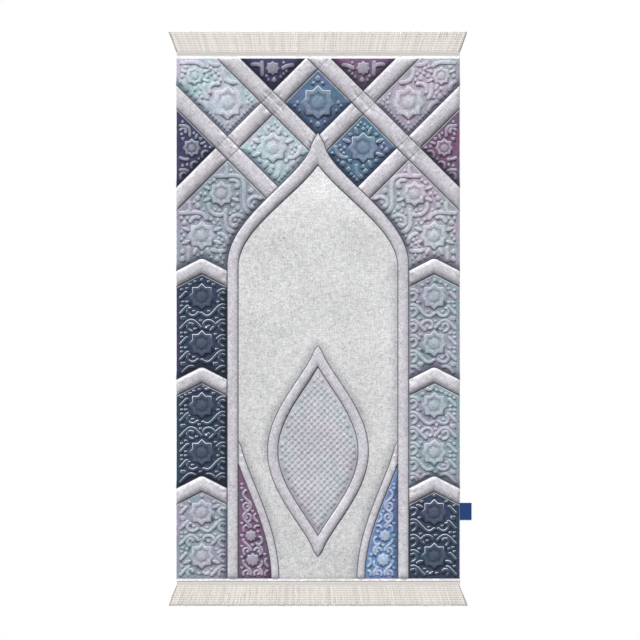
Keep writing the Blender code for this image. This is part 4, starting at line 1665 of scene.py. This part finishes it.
def build_fringe(name, node, end, sizes, finishes, seed):
    """A fringe at one end of the rug: 1 at the niche's end, -1 at its foot."""
    low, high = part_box(node)
    inner_y = low.y if end > 0 else -high.y
    rng = np.random.default_rng(seed)
    bm = bmesh.new()
    bm.loops.layers.uv.new("Strand")
    add_heading(bm, inner_y)
    for made in bm.faces:
        made.material_index = 1
    tone = bm.verts.layers.float.new("tone")
    pitch = 2 * HALF_WIDTH / sizes.yarn_count
    yarn = yarn_shape(sizes.yarn_length, YARN_FILL * pitch)
    root_y = inner_y + TAPE_DEPTH - YARN_HIDDEN
    for layer in YARN_LAYERS:
        for i in range(sizes.yarn_count):
            before = len(bm.verts)
            bm.from_mesh(yarn)
            bm.verts.ensure_lookup_table()
            root_x = -HALF_WIDTH + pitch * (i + layer["offset"])
            outward = root_x / HALF_WIDTH
            lean = outward * sizes.flare + layer["lean"] * (1 - abs(outward))
            lean += rng.normal(0, LEAN_SPREAD)
            sway, phase = rng.uniform(*SWAY), rng.uniform(0, 6.28)
            stretch_by = 1 + rng.normal(0, LENGTH_SPREAD)
            shade = rng.uniform(-1, 1) + layer["shade"]
            if i in (0, sizes.yarn_count - 1):
                shade = OUTERMOST_SHADE
            for vertex in bm.verts[before:]:
                share = vertex.co.y / sizes.yarn_length
                vertex.co.x += root_x + lean * share + sway * math.sin(SWAY_TURN * share + phase)
                vertex.co.z = max(vertex.co.z + layer["lie"] - layer["drop"] * share, 0.0001)
                vertex.co.y = root_y + vertex.co.y * stretch_by
                vertex[tone] = shade
    bpy.data.meshes.remove(yarn)
    for vertex in bm.verts:
        vertex.co.y *= end
    if end < 0:
        bmesh.ops.reverse_faces(bm, faces=bm.faces[:])
    return object_from(bm, name, finishes, math.radians(60))


def drawn_out(bm, edges, run):
    """Extrudes a row of edges along X in even steps, and returns the row's last place."""
    for _ in range(RIBBON_STEPS):
        moved = bmesh.ops.extrude_edge_only(bm, edges=edges)["geom"]
        tips = set(verts_of(moved))
        edges = [edge for edge in edges_of(moved) if set(edge.verts) <= tips]
        bmesh.ops.translate(bm, vec=(run / RIBBON_STEPS, 0, 0), verts=list(tips))
    return edges


def build_label(finish):
    """A ribbon folded back on itself, with its two ends sewn under the cloth's edge."""
    low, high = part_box("side_label")
    fold = (RIBBON_SLIT + RIBBON_THICKNESS) / 2
    middle_z = RIBBON_THICKNESS + RIBBON_SLIT / 2
    run = high.x - low.x - fold - RIBBON_THICKNESS / 2
    bm = bmesh.new()
    columns = np.linspace(low.y, high.y, RIBBON_COLUMNS)
    corners = [bm.verts.new((low.x, y, middle_z - fold)) for y in columns]
    edges = drawn_out(bm, [bm.edges.new(pair) for pair in zip(corners, corners[1:])], run)
    turn = {"axis": (0, -1, 0), "cent": (low.x + run, 0, middle_z), "angle": math.pi}
    spun = bmesh.ops.spin(bm, geom=edges, steps=FOLD_STEPS, **turn)
    drawn_out(bm, edges_of(spun["geom_last"]), -run)
    bmesh.ops.recalc_face_normals(bm, faces=bm.faces[:])
    bmesh.ops.solidify(bm, geom=bm.faces[:], thickness=RIBBON_THICKNESS)
    bmesh.ops.recalc_face_normals(bm, faces=bm.faces[:])
    return object_from(bm, "folded_tab", [finish], math.radians(50))


# ---------------------------------------------------------------- operators


def dress(piece, node):
    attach(piece, "root")
    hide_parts(node)


class RUG_OT_make_fringes(bpy.types.Operator):
    """Makes the two fringes with their heading tapes"""

    bl_idname = "rug.make_fringes"
    bl_label = "Fringes"

    def execute(self, context):
        sizes = context.scene.rug_fringe
        colour = tuple(context.scene.rug_colours.cotton)
        tape = woven("heading_tape", tuple(0.93 * c for c in colour), 0.0012, 0.0004, 0.88)
        finishes = [twisted_yarn(colour), tape]
        for name, node, end, seed in (
            ("fringe_at_niche_end", "fringe_top", 1, 11),
            ("fringe_at_foot_end", "fringe_bottom", -1, 12),
        ):
            dress(build_fringe(name, node, end, sizes, finishes, seed), node)
        return {"FINISHED"}


class RUG_OT_make_label(bpy.types.Operator):
    """Makes the folded ribbon on the right-hand edge"""

    bl_idname = "rug.make_label"
    bl_label = "Side Tab"

    def execute(self, context):
        ribbon = tuple(context.scene.rug_colours.ribbon)
        finish = woven("satin_ribbon", ribbon, 0.0007, 0.0001, 0.50, 0.08)
        dress(build_label(finish), "side_label")
        return {"FINISHED"}


class RUG_OT_make_cloth(bpy.types.Operator):
    bl_idname = "rug.make_cloth"
    bl_label = "Quilted Cloth"

    def execute(self, context):
        cloth = build_cloth(context.scene.rug_cloth, context.scene.rug_colours)
        dress(cloth, "rug_body")
        return {"FINISHED"}


class RUG_OT_make_stage(bpy.types.Operator):
    """Makes the floor, the lights and the camera straight above the rug"""

    bl_idname = "rug.make_stage"
    bl_label = "Stage"

    def execute(self, context):
        scene = context.scene
        settings = scene.rug_stage
        bm = bmesh.new()
        bmesh.ops.create_grid(bm, x_segments=2, y_segments=2, size=FLOOR_HALF)
        paper, tree, shader = new_material("floor_paper", 0.9)
        grain = noise(tree, object_place(tree), 40.0, 2.0)
        level = total(tree, product(tree, grain, 0.01), 0.955)
        tree.links.new(tinted(tree, (0.97, 0.97, 0.97), level), shader.inputs["Base Color"])
        floor = object_from(bm, "studio_floor", [paper])

        key = bpy.data.lights.new("key", "SUN")
        key.energy = settings.key_strength
        key.angle = math.radians(16)
        lamp = bpy.data.objects.new("key", key)
        lamp.rotation_euler = Vector(KEY_PLACE).to_track_quat("Z", "Y").to_euler()
        scene.collection.objects.link(lamp)
        world = bpy.data.worlds.new("studio")
        world.use_nodes = True
        background = world.node_tree.nodes["Background"]
        background.inputs["Color"].default_value = (1, 1, 1, 1)
        background.inputs["Strength"].default_value = settings.fill_strength
        scene.world = world

        lens = bpy.data.cameras.new("camera")
        lens.lens = lens.sensor_width * settings.camera_height / settings.view_width
        camera = bpy.data.objects.new("camera", lens)
        camera.location = (*VIEW_MIDDLE, settings.camera_height)
        lens.clip_end = 100
        scene.collection.objects.link(camera)
        scene.camera = camera
        scene.view_settings.view_transform = "Standard"
        return {"FINISHED"}


class RUG_PT_parts(bpy.types.Panel):
    """Lists the rug's colours and sizes, and makes its pieces"""

    bl_idname = "RUG_PT_parts"
    bl_label = "Prayer Rug"
    bl_space_type = "VIEW_3D"
    bl_region_type = "UI"
    bl_category = "Prayer Rug"

    def draw(self, context):
        scene = context.scene
        for title, settings, operators in (
            ("Colours", scene.rug_colours, ()),
            ("Stage", scene.rug_stage, ("rug.make_stage",)),
            ("Fringes", scene.rug_fringe, ("rug.make_fringes",)),
            ("Cloth", scene.rug_cloth, ("rug.make_label", "rug.make_cloth")),
        ):
            box = self.layout.box()
            box.label(text=title)
            for name in settings.bl_rna.properties.keys():
                if name not in ("rna_type", "name"):
                    box.prop(settings, name)
            for operator in operators:
                box.operator(operator)


CLASSES = (
    RugClothSettings,
    RugColourSettings,
    RugFringeSettings,
    RugStageSettings,
    RUG_OT_make_stage,
    RUG_OT_make_fringes,
    RUG_OT_make_label,
    RUG_OT_make_cloth,
    RUG_PT_parts,
)


def register():
    for made in CLASSES:
        bpy.utils.register_class(made)
    bpy.types.Scene.rug_cloth = PointerProperty(type=RugClothSettings)
    bpy.types.Scene.rug_colours = PointerProperty(type=RugColourSettings)
    bpy.types.Scene.rug_fringe = PointerProperty(type=RugFringeSettings)
    bpy.types.Scene.rug_stage = PointerProperty(type=RugStageSettings)


def unregister():
    for name in ("rug_cloth", "rug_colours", "rug_fringe", "rug_stage"):
        delattr(bpy.types.Scene, name)
    for made in reversed(CLASSES):
        bpy.utils.unregister_class(made)


def main():
    register()
    bpy.ops.rug.make_stage()
    bpy.ops.rug.make_fringes()
    bpy.ops.rug.make_label()
    bpy.ops.rug.make_cloth()


if __name__ == "__main__":
    main()
